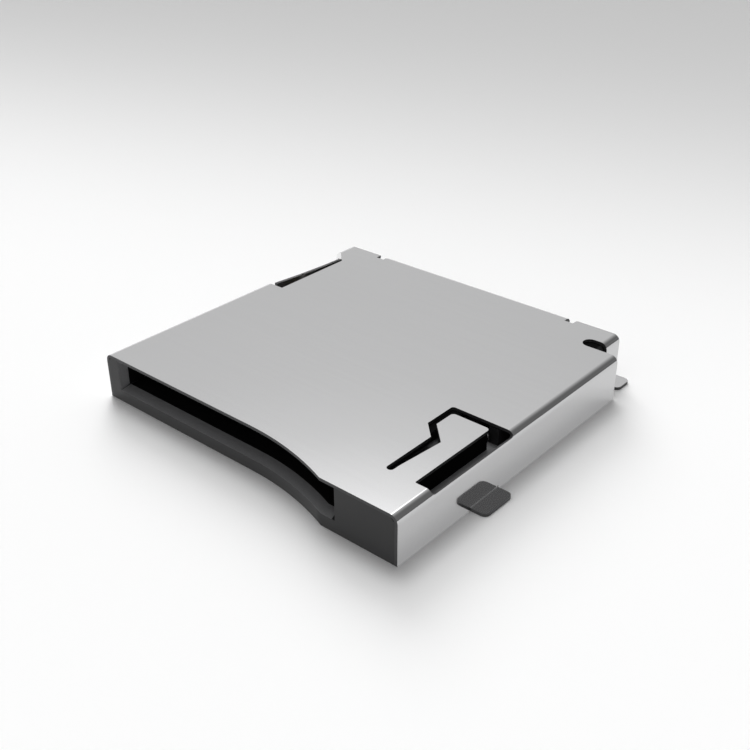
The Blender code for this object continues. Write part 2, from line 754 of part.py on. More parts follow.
def contact_places():
    """Name, x and crest depth of the nine signal contacts, from the right."""
    places = [("contact_9", CONTACT_FIRST_X, CONTACT_CREST_AT - CREST_SET_FORWARD)]
    for number in range(1, 8):
        x = CONTACT_FIRST_X - number * CONTACT_PITCH
        places.append((f"contact_{number}", x, CONTACT_CREST_AT))
    places.append(("contact_8", CONTACT_LAST_X, CONTACT_CREST_AT))
    return places


def cut_box(cutters, name, x_span, y_span, z_span):
    add_cutter(name, box(name, x_span, y_span, z_span), cutters)


def card_cutters(cutters, top):
    """Card channel with its guide rails, and the lead-in round the mouth."""
    channel = (CHANNEL_LEFT, CHANNEL_RIGHT)
    between = (CHANNEL_LEFT + CARD_RAIL, CHANNEL_RIGHT - CARD_RAIL)
    middle = CARD_RAIL_FRONT / 2
    rail_rear = CARD_RAIL_FRONT + CARD_RAIL_LENGTH
    cut_box(cutters, "card_mouth", channel, (-OVER, CARD_RAIL_FRONT), (FLOOR, top))
    cut_box(cutters, "card_upper", channel, (middle, CARD_STOP), (FLOOR + CARD_RAIL_HEIGHT, top))
    cut_box(cutters, "card_lower", between, (middle, CARD_STOP), (FLOOR, top))
    cut_box(cutters, "card_rear", channel, (rail_rear, CARD_STOP), (FLOOR, top))
    add_cutter("lead_in", lead_in_mesh(), cutters)
    for side, edge, start in ((-1, CHANNEL_LEFT, MOUTH_SET_BACK), (1, CHANNEL_RIGHT, 0.0)):
        front = start - LEAD_IN_DEPTH
        wedge = [(edge - side * LEAD_IN_SIDE, front), (edge + 2 * side * LEAD_IN_SIDE, front),
                 (edge - side * LEAD_IN_SIDE, start + 2 * LEAD_IN_DEPTH)]
        if side < 0:
            wedge.reverse()
        add_cutter("side_lead_in", prism("side_lead_in", wedge, LIP_HEIGHT, top), cutters)


def mechanism_cutters(cutters, top):
    """Track of the slider, the ledge and rib beside it, and the rod's pin hole."""
    bar = (TRACK_LEFT, BAR_RIGHT + SLIDE_PLAY)
    front = MECHANISM_FRONT
    cut_box(cutters, "slider_track", (TRACK_LEFT, TRACK_RIGHT), (front, SPRING_SEAT),
            (TRACK_FLOOR, top))
    cut_box(cutters, "bar_track", bar, (front, ARM_SWEEP), (TRACK_FLOOR, top))
    cut_box(cutters, "arm_pocket", (ARM_LEFT - 2 * SLIDE_PLAY, SLIDER_LEFT),
            (CARD_STOP - OVER, ARM_SWEEP), (FLOOR, top))
    cut_box(cutters, "arm_gap", (CHANNEL_RIGHT - SLIDE_PLAY, SLIDER_LEFT),
            (LOCK_FRONT - LOCK_ROOM, ARM_SWEEP), (FLOOR, top))
    rib_rear = front + RIB_LENGTH
    out = HOUSING_SIDE + OVER
    cut_box(cutters, "ledge_front", (RIB_FACE, out), (front, rib_rear + RIB_GAP),
            (LEDGE_HEIGHT, top))
    cut_box(cutters, "rib_gap", (TRACK_RIGHT - SLIDE_PLAY, out), (rib_rear, rib_rear + RIB_GAP),
            (LEDGE_HEIGHT, top))
    cut_box(cutters, "ledge_rear", (TRACK_RIGHT + RIB_REAR, out),
            (rib_rear, LONG_WALL_REAR + OVER), (LEDGE_HEIGHT, top))
    hole = ROD_WIRE / 2 + ROD_PLAY
    pin_low = ROD_Z - ROD_PIN_DEPTH - ROD_PLAY - SLIDE_PLAY
    add_cutter("rod_hole", post("rod_hole", (CAM_X, ROD_PIN), hole, (pin_low, top)), cutters)
    swing = hole + CAM_SWING * (front - ROD_PIN) / ROD_LENGTH
    cut_box(cutters, "rod_groove", (CAM_X - swing, CAM_X + swing),
            (ROD_PIN - hole, front + SLIDE_PLAY), (ROD_Z - hole, top))


def switch_cutters(cutters, top):
    """Bay of the write-protect switch, with the slits that hold its two strips."""
    out = -HOUSING_SIDE - OVER
    cut_box(cutters, "switch_bay", (out, CHANNEL_LEFT + CARD_SIDE_PLAY), (BAY_FRONT, BAY_REAR),
            (BAY_FLOOR, top))
    slit = LEAF_SHEET / 2 + GROOVE_PLAY
    cut_box(cutters, "leaf_slit", (LEAF_X - slit, LEAF_X + slit),
            (BAY_REAR - SLIDE_PLAY, LEAF_REAR + GROOVE_PLAY), (LEAF_BOTTOM - GROOVE_PLAY, top))
    slot = POST_SHEET / 2 + GROOVE_PLAY
    for name, x, span in (("leaf_foot", LEAF_X, leaf_foot_span()),
                          ("post_foot", POST_X, post_span())):
        room = (span[0] - GROOVE_PLAY, span[1] + GROOVE_PLAY)
        cut_box(cutters, name + "_slit", (x - slot, x + slot), room,
                (-OVER, BAY_FLOOR + SLIDE_PLAY))
        cut_box(cutters, name + "_way", (out, x), room, (-OVER, 2 * (POST_SHEET + GROOVE_PLAY)))


def contact_cutters(cutters):
    """Seats and slots of the signal contacts and of the card-detect switch."""
    for name, x, crest in contact_places():
        beam_cutters(cutters, name, x, crest, CONTACT_WIDTH, CONTACT_BEAM)
    beam_cutters(cutters, "detect", DETECT_X, DETECT_CREST_AT, DETECT_WIDTH, DETECT_BEAM)
    half = DETECT_WIDTH / 2 + GROOVE_PLAY
    tail = DETECT_X - POST_TAIL_SHIFT
    cut_box(cutters, "post_tail", (tail - half, tail + half),
            (DETECT_CREST_AT + DETECT_BEAM - GROOVE_PLAY, HOUSING_REAR + OVER), seat_span())


def seat_span():
    half = CONTACT_SHEET / 2 + GROOVE_PLAY
    return CONTACT_SEAT - half, CONTACT_SEAT + half


def beam_cutters(cutters, name, x, crest, width, beam):
    """Groove for a contact's seat, and the slot that its beam moves in."""
    half = width / 2 + GROOVE_PLAY
    root = crest + beam
    low, high = seat_span()
    above = FLOOR + OVER
    cut_box(cutters, name + "_tunnel", (x - half, x + half),
            (CARD_STOP - BEAM_SLOT_PLAY, HOUSING_REAR + OVER), (low, high))
    cut_box(cutters, name + "_groove", (x - half, x + half),
            (root - BEAM_SLOT_PLAY, CARD_STOP), (low, above))
    slot = width / 2 + BEAM_SLOT_PLAY
    cut_box(cutters, name + "_slot", (x - slot, x + slot),
            (crest - CONTACT_TIP - 2 * BEAM_SLOT_PLAY, root), (-OVER, above))


def chamfer_cutters(cutters):
    """Bars turned by 45 degrees along the top edges that lie in the shell's bends."""
    middle = HOUSING_REAR / 2
    long_run = HOUSING_REAR + 2 * OVER
    bars = (("left_chamfer", (-HOUSING_SIDE, middle), (CHAMFER, long_run)),
            ("right_chamfer", (HOUSING_SIDE, middle), (CHAMFER, long_run)),
            ("step_chamfer", (STEPPED_SIDE, HOUSING_REAR),
             (CHAMFER, 2 * (HOUSING_REAR - LONG_WALL_REAR) - CHAMFER)),
            ("rear_chamfer", (0, HOUSING_REAR), (2 * HALF_WIDTH, REAR_CHAMFER)))
    for name, (x, y), (wide, deep) in bars:
        along_y = wide < deep
        side = math.sqrt(2) * min(wide, deep)
        size = Matrix.Diagonal((side, deep, side, 1) if along_y else (wide, side, side, 1))
        turn = Matrix.Rotation(math.radians(45), 4, "Y" if along_y else "X")
        work = bmesh.new()
        bmesh.ops.create_cube(
            work, size=1.0, matrix=Matrix.Translation((x, y, HOUSING_TOP)) @ turn @ size)
        mesh = bpy.data.meshes.new(name)
        work.to_mesh(mesh)
        work.free()
        add_cutter(name, mesh, cutters)


def build_housing(parts, cutter_root):
    cutters = new_collection("housing_cutters", cutter_root)
    top = HOUSING_TOP + OVER
    card_cutters(cutters, top)
    mechanism_cutters(cutters, top)
    switch_cutters(cutters, top)
    contact_cutters(cutters)
    chamfer_cutters(cutters)
    housing = add_object("housing", prism("housing", housing_outline(), 0.0, HOUSING_TOP), parts)
    cut(housing, cutters)
    return housing


# Strips folded along a path

def folded_strip(name, outline, path, thickness, parts, plane="YZ", place=(0, 0, 0)):
    """Flat outline (across, along) folded along a path and given its thickness."""
    mesh = filled_outline(name, [outline])
    work = bmesh.new()
    work.from_mesh(mesh)
    lengths = [0.0]
    for before, after in zip(path, path[1:]):
        lengths.append(lengths[-1] + (after - before).length)
    lines = []
    for length in lengths[1:-1]:
        slice_flat(work, lines, 1, length)
    join_strips(work, lines)
    for vert in work.verts:
        across, along = vert.co.x * MM, vert.co.y * MM
        index = 0
        while index < len(lengths) - 2 and along > lengths[index + 1]:
            index += 1
        share = (along - lengths[index]) / (lengths[index + 1] - lengths[index])
        spot = path[index].lerp(path[index + 1], share)
        if plane == "YZ":
            vert.co = Vector((across, spot.x, spot.y))
        elif plane == "XZ":
            vert.co = Vector((spot.x, across, spot.y))
        else:
            vert.co = Vector((spot.x, spot.y, across))
    bmesh.ops.recalc_face_normals(work, faces=work.faces)
    work.to_mesh(mesh)
    work.free()
    strip = add_object(name, mesh, parts, place)
    thicken(strip, thickness, 0.0)
    return strip


def path_length(path):
    return sum((after - before).length for before, after in zip(path, path[1:]))


def contact_path(crest_y, crest_z, beam):
    """Side view of a contact from its tail's foot to its tip."""
    foot = CONTACT_SHEET / 2
    rear = TOTAL_DEPTH
    root = crest_y + beam
    bend = 2.0 * CONTACT_SHEET
    return round_bends([
        (rear, foot, 0), (rear - TAIL_FOOT, foot, bend),
        (rear - TAIL_FOOT - TAIL_RAMP, CONTACT_SEAT, bend), (root, CONTACT_SEAT, bend),
        (crest_y, crest_z, 2.5 * CONTACT_SHEET),
        (crest_y - CONTACT_TIP, crest_z - CONTACT_TIP_DROP, 0)])


def build_contact(name, x, crest_y, crest_z, width, beam, parts):
    path = contact_path(crest_y, crest_z, beam)
    length = path_length(path)
    taper = length - CONTACT_TIP - beam
    half = width / 2
    tip = min(CONTACT_TIP_WIDTH, width * 0.8) / 2
    outline = [(-half, 0), (half, 0), (half, taper), (tip, length - CONTACT_TIP), (tip, length),
               (-tip, length), (-tip, length - CONTACT_TIP), (-half, taper)]
    return folded_strip(name, outline, path, CONTACT_SHEET, parts, "YZ", (x, 0, 0))


def build_detect_post(parts):
    """Fixed detect contact: a strip with its tail, beside the root of the leaf."""
    path = round_bends([
        (TOTAL_DEPTH, CONTACT_SHEET / 2, 0),
        (TOTAL_DEPTH - TAIL_FOOT, CONTACT_SHEET / 2, 2 * CONTACT_SHEET),
        (TOTAL_DEPTH - TAIL_FOOT - TAIL_RAMP, CONTACT_SEAT, 2 * CONTACT_SHEET),
        (DETECT_CREST_AT + DETECT_BEAM, CONTACT_SEAT, 0)])
    length = path_length(path)
    half = DETECT_WIDTH / 2
    outline = [(-half, 0), (half, 0), (half, length), (-half, length)]
    return folded_strip(
        "detect_post", outline, path, CONTACT_SHEET, parts, "YZ",
        (DETECT_X - POST_TAIL_SHIFT, 0, 0))


# Write-protect switch at the left

def post_span():
    return LEAF_TIP, LEAF_TIP + POST_WIDTH


def leaf_foot_span():
    return LEAF_FOOT_REAR - POST_WIDTH, LEAF_FOOT_REAR


def side_foot(name, x, y_span, top, parts):
    """Upright strip that turns out at its foot into a solder tail."""
    path = round_bends([
        (x, top, 0), (x, POST_SHEET / 2, 1.5 * POST_SHEET),
        (-HALF_WIDTH - FOOT_REACH, POST_SHEET / 2, 0)])
    low, high = y_span
    length = path_length(path)
    outline = [(low, 0), (high, 0), (high, length), (low, length)]
    return folded_strip(name, outline, path, POST_SHEET, parts, "XZ")


def build_protect_leaf(parts, cutters):
    """Strip on edge that runs forward from its slit and splays out to the wall."""
    work = bmesh.new()
    bmesh.ops.create_grid(work, x_segments=30, y_segments=8, size=0.5)
    middle = (LEAF_BOTTOM + LEAF_TOP) / 2
    dimple = LEAF_TIP + LEAF_DIMPLE_FROM_TIP
    for vert in work.verts:
        y = LEAF_TIP + (vert.co.x + 0.5) * (LEAF_REAR - LEAF_TIP)
        z = LEAF_BOTTOM + (vert.co.y + 0.5) * (LEAF_TOP - LEAF_BOTTOM)
        forward = max(0.0, (BAY_REAR - y) / (BAY_REAR - LEAF_TIP))
        x = LEAF_X - LEAF_SPLAY * forward ** 1.8
        away = math.hypot(y - dimple, z - middle) / LEAF_DIMPLE_SPAN
        if away < 1:
            x += LEAF_DIMPLE * (0.5 + 0.5 * math.cos(math.pi * away))
        vert.co = Vector((x, y, z))
    mesh = bpy.data.meshes.new("protect_leaf")
    work.to_mesh(mesh)
    work.free()
    leaf = add_object("protect_leaf", mesh, parts)
    thicken(leaf, LEAF_SHEET, 0.0)
    top = LEAF_BOTTOM + 2 * POST_SHEET
    foot = side_foot("leaf_foot", LEAF_X, leaf_foot_span(), top, cutters)
    foot.hide_render = True
    foot.display_type = "WIRE"
    join(leaf, foot)
    return leaf


# Push-push mechanism

def cam_points():
    """Start, far corner in, latch and far corner out of the rod's end in the track."""
    end = CAM_START - STROKE - CAM_END_ROOM
    return ((CAM_X, CAM_START), (CAM_X + CAM_SWING, end),
            (CAM_X, end + LATCH_BACK), (CAM_X - CAM_SWING, end))


def slider_outline():
    """Plan of the slider without its arm: the cam block, and the bar beside the spring."""
    return [(SLIDER_LEFT, SLIDER_FRONT), (SLIDER_RIGHT, SLIDER_FRONT), (SLIDER_RIGHT, BLOCK_REAR),
            (BAR_RIGHT, BLOCK_REAR), (BAR_RIGHT, SLIDER_REAR), (SLIDER_LEFT, SLIDER_REAR)]


def arm_outline():
    """Plan of the arm, whose slanted face takes the card's cut corner."""
    inner = CHANNEL_RIGHT - SLIDE_PLAY / 2
    front = ARM_TIP_FRONT - (inner - ARM_LEFT)
    return [(BAR_RIGHT, front), (inner, front), (ARM_LEFT, ARM_TIP_FRONT),
            (ARM_LEFT, SLIDER_REAR), (BAR_RIGHT, SLIDER_REAR)]


def build_slider(parts, cutter_root):
    cutters = new_collection("slider_cutters", cutter_root)
    start, corner_in, latch, corner_out = cam_points()
    floor = SLIDER_TOP - CAM_DEPTH
    legs = (("track_in", start, corner_in, floor),
            ("track_rest", corner_in, latch, floor - CAM_STEP),
            ("track_free", latch, corner_out, floor - 2 * CAM_STEP),
            ("track_out", corner_out, start, floor))
    over = SLIDER_TOP + OVER
    for name, here, there, low in legs:
        add_cutter(name, prism(name, leg_outline(here, there, CAM_WIDTH), low, over), cutters)
        pocket = CAM_WIDTH / 2 + CAM_POCKET
        add_cutter(name + "_end", post(name + "_end", here, pocket, (low, over)), cutters)
    slit = LOCK_SHEET / 2 + LOCK_PLAY
    tall = LOCK_HEIGHT / 2 + LOCK_PLAY
    cut_box(cutters, "lock_slit", (SLIDER_LEFT - OVER, SLIDER_LEFT + LOCK_SLIT_DEPTH + LOCK_PLAY),
            (LOCK_SLIT - slit, LOCK_SLIT + slit), (SLIDER_MIDDLE - tall, SLIDER_MIDDLE + tall))
    slider = add_object(
        "slider", prism("slider", slider_outline(), SLIDER_BOTTOM, SLIDER_TOP), parts)
    low = FLOOR + ARM_LIFT
    arm = add_cutter("arm", prism("arm", arm_outline(), low, low + ARM_HEIGHT), cutter_root)
    join(slider, arm)
    cut(slider, cutters)
    return slider


def build_lock_leaf(parts):
    """Spring strip whose end sits in the slider's slit and whose bump meets the card."""
    face = SLIDER_LEFT - LOCK_PLAY - LOCK_SHEET
    bump = CHANNEL_RIGHT - LOCK_PLAY * 2
    path = round_bends([
        (SLIDER_LEFT + LOCK_SLIT_DEPTH, LOCK_SLIT, 0), (face, LOCK_SLIT, 2 * LOCK_SHEET),
        (face, LOCK_SLIT - LOCK_FLAT, 5 * LOCK_SHEET),
        (bump, LOCK_FRONT + LOCK_BUMP_FROM_TIP, 4 * LOCK_SHEET), (face, LOCK_FRONT, 0)])
    length = path_length(path)
    low = SLIDER_MIDDLE - LOCK_HEIGHT / 2
    high = SLIDER_MIDDLE + LOCK_HEIGHT / 2
    outline = [(low, 0), (high, 0), (high, length), (low, length)]
    return folded_strip("lock_leaf", outline, path, LOCK_SHEET, parts, "XY")


def wire(name, points, diameter, place, parts, sides=2):
    """Round wire along a path, as one closed mesh."""
    curve = bpy.data.curves.new(name, "CURVE")
    curve.dimensions = "3D"
    curve.bevel_depth = diameter / 2
    curve.bevel_resolution = sides
    curve.use_fill_caps = True
    spline = curve.splines.new("POLY")
    spline.points.add(len(points) - 1)
    for point, place_on in zip(spline.points, points):
        point.co = (*place_on, 1.0)
    holder = bpy.data.objects.new(name, curve)
    bpy.context.scene.collection.objects.link(holder)
    mesh = evaluated_mesh(holder, name)
    bpy.data.objects.remove(holder, do_unlink=True)
    work = bmesh.new()
    work.from_mesh(mesh)
    bmesh.ops.remove_doubles(work, verts=work.verts, dist=1e-7)
    bmesh.ops.recalc_face_normals(work, faces=work.faces)
    work.to_mesh(mesh)
    work.free()
    return add_object(name, mesh, parts, place)


def build_link_rod(parts):
    """Bent wire: a pin in the housing, a straight run, and the end in the cam track."""
    end_drop = ROD_Z - (SLIDER_TOP - CAM_DEPTH + ROD_PLAY)
    path = round_bends([
        (0, -ROD_PIN_DEPTH, 0), (0, 0, ROD_CORNER), (ROD_LENGTH, 0, ROD_CORNER),
        (ROD_LENGTH, -end_drop, 0)])
    points = [(0.0, spot.x, spot.y) for spot in path]
    return wire("link_rod", points, ROD_WIRE, (CAM_X, ROD_PIN, ROD_Z), parts)


def build_coil_spring(parts):
    """Compression spring between the cam block and the housing's seat."""
    x = (BAR_RIGHT + TRACK_RIGHT) / 2
    start = BLOCK_REAR + SPRING_GAP + SPRING_WIRE / 2
    length = SPRING_SEAT - SPRING_GAP - SPRING_WIRE / 2 - start
    radius = (SPRING_DIAMETER - SPRING_WIRE) / 2
    points = []
    for index in range(SPRING_TURNS * COIL_STEPS + 1):
        turn = index / COIL_STEPS
        angle = 2 * math.pi * turn
        points.append((radius * math.cos(angle), length * spread(turn), radius * math.sin(angle)))
    return wire("coil_spring", points, SPRING_WIRE, (x, start, SLIDER_MIDDLE), parts)


def spread(turn):
    """Share of the spring's length at a turn, with one close turn at each end."""
    close = SPRING_CLOSE_TURN
    total = SPRING_TURNS - 2 + 2 * close
    if turn < 1:
        return close * turn / total
    if turn > SPRING_TURNS - 1:
        return 1 - close * (SPRING_TURNS - turn) / total
    return (close + turn - 1) / total


def main():
    clear_scene()
    parts = new_collection("sd_card_socket")
    cutters = new_collection("cutters")
    datum = bpy.data.objects.new("datum", None)
    datum.location = (0.0, -TOTAL_DEPTH / 2, 0.0)
    parts.objects.link(datum)

    steel = ((0.72, 0.72, 0.73), 0.22, 1.0)
    black = ((0.045, 0.045, 0.048), 0.45, 0.0)
    bronze = ((0.78, 0.62, 0.36), 0.3, 1.0)
    grey = ((0.12, 0.12, 0.13), 0.4, 0.0)
    spring = ((0.6, 0.6, 0.62), 0.3, 1.0)
    looks = {"shell": steel, "housing": black, "slider": grey, "link_rod": spring,
             "coil_spring": spring, "lock_leaf": spring}

    built = [build_shell(parts), build_housing(parts, cutters),
             build_slider(parts, cutters), build_link_rod(parts), build_coil_spring(parts),
             build_lock_leaf(parts)]
    for name, x, crest in contact_places():
        built.append(build_contact(
            name, x, crest, CONTACT_CREST, CONTACT_WIDTH, CONTACT_BEAM, parts))
    built.append(build_contact(
        "detect_leaf", DETECT_X, DETECT_CREST_AT, DETECT_CREST, DETECT_WIDTH, DETECT_BEAM, parts))
    built.append(build_detect_post(parts))
    built.append(build_protect_leaf(parts, cutters))
    built.append(side_foot("protect_post", POST_X, post_span(), POST_TOP, parts))
    for item in built:
        colour, roughness, metallic = looks.get(item.name, bronze)
        finish_part(item, datum, new_material(item.name, colour, roughness, metallic))
    for item in list(cutters.all_objects):
        item.parent = datum


main()
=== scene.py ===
import math

import bmesh
import bpy
import numpy as np
from mathutils import Matrix, Vector


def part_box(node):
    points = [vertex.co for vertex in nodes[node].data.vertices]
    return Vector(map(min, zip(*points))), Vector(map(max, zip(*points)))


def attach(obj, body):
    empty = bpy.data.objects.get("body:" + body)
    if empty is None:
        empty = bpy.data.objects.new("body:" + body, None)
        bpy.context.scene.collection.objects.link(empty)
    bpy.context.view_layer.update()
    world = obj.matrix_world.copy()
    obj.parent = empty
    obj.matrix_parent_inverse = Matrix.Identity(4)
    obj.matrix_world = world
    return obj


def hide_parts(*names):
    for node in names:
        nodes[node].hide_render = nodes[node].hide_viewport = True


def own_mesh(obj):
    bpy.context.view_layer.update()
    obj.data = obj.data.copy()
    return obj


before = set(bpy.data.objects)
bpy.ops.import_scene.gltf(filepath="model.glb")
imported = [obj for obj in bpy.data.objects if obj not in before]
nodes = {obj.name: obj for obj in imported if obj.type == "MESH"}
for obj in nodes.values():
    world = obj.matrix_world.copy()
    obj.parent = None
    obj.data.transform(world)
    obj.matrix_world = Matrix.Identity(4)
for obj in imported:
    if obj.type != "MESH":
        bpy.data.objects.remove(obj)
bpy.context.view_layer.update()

MM = 0.001

# Camera: a 50 mm lens close to the part, looking down on its front right corner
CAMERA_PLACE = Vector((48.45, -56.19, 43.40)) * MM
CAMERA_TURN = math.radians(40.77)
CAMERA_FALL = math.radians(29.54)
CAMERA_ROLL = math.radians(-0.21)
CAMERA_LENS = 50.46
CAMERA_SENSOR = 36.0
CAMERA_NEAR = 1.0 * MM

# Shell: its sheet, the axis of its long bends, and the window's rear edge
SHEET = 0.25 * MM
BEND_AXIS_SIDE = 15.0 * MM
BEND_AXIS_HEIGHT = 3.3 * MM
INNER_BEND = 0.35 * MM
WINDOW_REAR = 12.5 * MM
BEND_END_REACH = 0.35 * MM
BRIGHT_EDGE_LEFT_OF = -13.5 * MM

# Housing: its long corners, which turn round the same axis, its channel, ledge, rib and lead-in
HOUSING_ARC = 0.3 * MM
HOUSING_TOP = 3.6 * MM
HOUSING_SWELLS = 0.045 * MM
CHANNEL_LEFT = -14.1 * MM
CHANNEL_RIGHT = 10.1 * MM
CHANNEL_LOW = 0.9 * MM
CHANNEL_HIGH = 3.55 * MM
LEDGE_HEIGHT = 2.33 * MM
RIB_FACE = 14.05 * MM
LEAD_IN_CREST = -13.6 * MM
LEAD_IN_HEIGHT = 1.3 * MM
GROOVE_END = np.array([-13.95, -12.93, 1.0]) * MM
GROOVE_CLOSED_AT = np.array([-13.95, -13.73, 1.35]) * MM

# Leaves: the write-protect leaf, which rises in front of the covering plate, and the lock leaf
LEAF_SHEET = 0.3 * MM
LEAF_TOP = 3.5 * MM
LEAF_RISES = 0.16 * MM
LEAF_RISES_FRONT_OF = 12.2 * MM
LEAF_RISE_RUN = 0.6 * MM
LOCK_SHEET = 0.12 * MM

# Contacts: folded strips from the tail's foot to the tip in the card channel
TOTAL_DEPTH = 32.0 * MM
STRIP_SHEET = 0.2 * MM
STRIP_SEAT = 0.7 * MM
STRIP_BEND = 2 * STRIP_SHEET
STRIP_CREST_BEND = 2.5 * STRIP_SHEET
STRIP_CORNER = 0.03 * MM
TAIL_FOOT = 0.75 * MM
TAIL_RAMP = 0.35 * MM
CONTACT_NUMBERS = range(1, 10)
FORWARD_CONTACT = 9
CONTACT_WIDTH = 0.8 * MM
CONTACT_TIP_WIDTH = 0.5 * MM
CONTACT_CREST = 2.35 * MM
CONTACT_CREST_AT = 23.25 * MM
FORWARD_CREST_AT = 21.65 * MM
CONTACT_BEAM = 4.3 * MM
CONTACT_TIP = 0.9 * MM
CONTACT_TIP_DROP = 0.45 * MM
NARROWEST_TIP = 0.8
TIP_NOSE = 0.12 * MM
TIP_NOSE_SHARE = 0.7
DETECT_WIDTH = 0.6 * MM
DETECT_CREST = 2.55 * MM
DETECT_CREST_AT = 24.65 * MM
DETECT_BEAM = 2.9 * MM

# Link rod
ROD_WIRE = 0.4 * MM
ROD_LENGTH = 8.4 * MM
ROD_PIN_DEPTH = 1.5 * MM
ROD_END_DROP = 0.85 * MM
ROD_CORNER = 0.35 * MM

# Coil spring
SPRING_DIAMETER = 1.35 * MM
SPRING_WIRE = 0.25 * MM
SPRING_TURNS = 12
SPRING_CLOSE_TURN = 0.35

# Fineness of the swept pieces
BEND_STEPS = 12
ROUND_SIDES = 24
CORNER_POINTS = 4
DOME_STEPS = 6
STEPS_PER_TURN = 40
NEARLY_HALF = 0.49
NEARLY_QUARTER_TURN = 0.93 * math.pi / 2

# Edges: how near a face or corner lies to the place it is known by, and the share of the
# sheet's thickness by which the edge of a cut may miss it
EDGE_ROOM = 0.1 * MM
SHELL_CUT_ROOM = 0.08
LEAF_CUT_ROOM = 0.02
MOULD_EDGE = 0.03 * MM
EDGE_SEGMENTS = 2
MERGE = 0.001 * MM
FLAT_UNDER = math.radians(0.3)
SHARP_OVER = math.radians(35)
SWEPT_SHARP_OVER = math.radians(50)
LARGEST_FACES_ONLY = 100

# Part of a face's normal along an axis, from which it counts as square to that axis, as nearly
# square, as a slope, or as turned that way at all
SQUARE = 0.99
NEARLY_SQUARE = 0.95
SLOPED = 0.85
TURNED = 0.5

# Each material's darker and paler colour
STEEL_COLOURS = ((0.616, 0.616, 0.621), (0.624, 0.624, 0.629))
# The cut edges' dark colour is painted shade; their torn relief is the steel's own
CUT_STEEL_PAINTED_SHADE_COLOURS = ((0.042, 0.042, 0.043), (0.055, 0.055, 0.057))
# Painted highlight: the pale colour of the bright cut edge at the window's rear
PAINTED_HIGHLIGHT_EDGE_COLOURS = ((0.93, 0.93, 0.93), (0.97, 0.97, 0.97))
MOULDING_COLOURS = ((0.019, 0.019, 0.020), (0.024, 0.024, 0.025))
# Painted shade: the near-black colour of the channel, the rib and the tops under the sheet
PAINTED_SHADE_COLOURS = ((0.005, 0.005, 0.0052), (0.007, 0.007, 0.0072))
# Painted light: the paler colour of the lead-in and the ledge
PAINTED_LIGHT_COLOURS = ((0.17, 0.17, 0.174), (0.20, 0.20, 0.205))
SLIDER_COLOURS = ((0.045, 0.045, 0.048), (0.055, 0.055, 0.058))
CONTACT_COLOURS = ((0.50, 0.46, 0.40), (0.56, 0.52, 0.45))
SWITCH_COLOURS = ((0.42, 0.42, 0.42), (0.48, 0.48, 0.48))
SPRING_COLOURS = ((0.50, 0.50, 0.51), (0.60, 0.60, 0.61))
GOLD = (0.90, 0.66, 0.28)
TIN = (0.70, 0.70, 0.69)

# Places of the two colours and of their mixture among a Mix node's sockets
MIX_COLOURS = (6, 7)
MIX_RESULT = 2

# Finish: relief of the torn, moulded and drawn surfaces, gloss of the two contact metals, and
# the heights over which tin gives way and gold takes over on a contact
TORN_RELIEF = 0.01 * MM
GRAIN_RELIEF = 0.004 * MM
DRAWN_RELIEF = 0.001 * MM
CONTACT_GLOSS = (0.18, 0.28)
SWITCH_GLOSS = (0.36, 0.46)
TIN_ENDS = (0.45 * MM, 0.6 * MM)
GOLD_STARTS = (1.75 * MM, 1.95 * MM)

# Floor: its grey far behind, how much paler it is under the part, and how that falls off, all a
# painted pool of light
FLOOR_SIZE = 4.0
FLOOR_ROUGHNESS = 0.8
FLOOR_FAR_GREY = 0.515
FLOOR_PALER = 0.465
FLOOR_FALL_RUN = 75 * MM
FLOOR_FALL_POWER = 2.5
FLOOR_FALL_SIDEWAYS = 0.45

# Floor as polished metal shows it: this share of it glows evenly at this strength
FLOOR_GLOW = 0.78
FLOOR_GLOW_SHARE = 0.48

# Two wide lamps behind the left, one low for the long shadow and one high for the close one:
# each one's height, and its share of the floor's light
LAMP_WIDTH = math.radians(27)
LAMP_TURN = math.radians(140)
LAMPS = {
    "lamp_low": (math.radians(27), 0.235),
    "lamp_high": (math.radians(70), 0.225),
}

# Softbox behind the left: its middle, its strength, and the share of that by the cosine of
# the angle from its middle. Spans below go from where a light starts to where it is full, as
# parts of a direction along X, Y or Z
SOFTBOX_TURN = math.radians(135)
SOFTBOX_RISE = math.radians(55)
SOFTBOX_STRENGTH = 4.0
SOFTBOX_SHARES = (
    (0.86, 0.0), (0.904, 0.015), (0.927, 0.04), (0.948, 0.12), (0.960, 0.32), (0.975, 0.75),
    (1.0, 1.0))
SOFTBOX_X = (-0.15, -0.42)

# Walls: grey all round, paler at the rear left, and a little light from the front
WALL_GREY = 0.172
REAR_LEFT_GREY = 0.568
REAR_LEFT_X = (0.42, -0.45)
REAR_LEFT_Y = (-0.25, 0.15)
FRONT_LIGHT = 0.2
FRONT_Y = (-0.1, -0.6)

# Backdrop above the floor, and its paleness as metal shows it at the front and low behind
BACKDROP = 0.62
FRONT_GLOW = 0.5
FRONT_GLOW_Y = (0.35, -0.1)
LOW_REAR_GLOW = 0.35
LOW_REAR_X = (0.58, 0.4)
LOW_REAR_Y = (0.0, 0.3)
LOW_REAR_Z = (0.38, 0.22)


# Materials: each is a small node tree on the piece's own coordinates

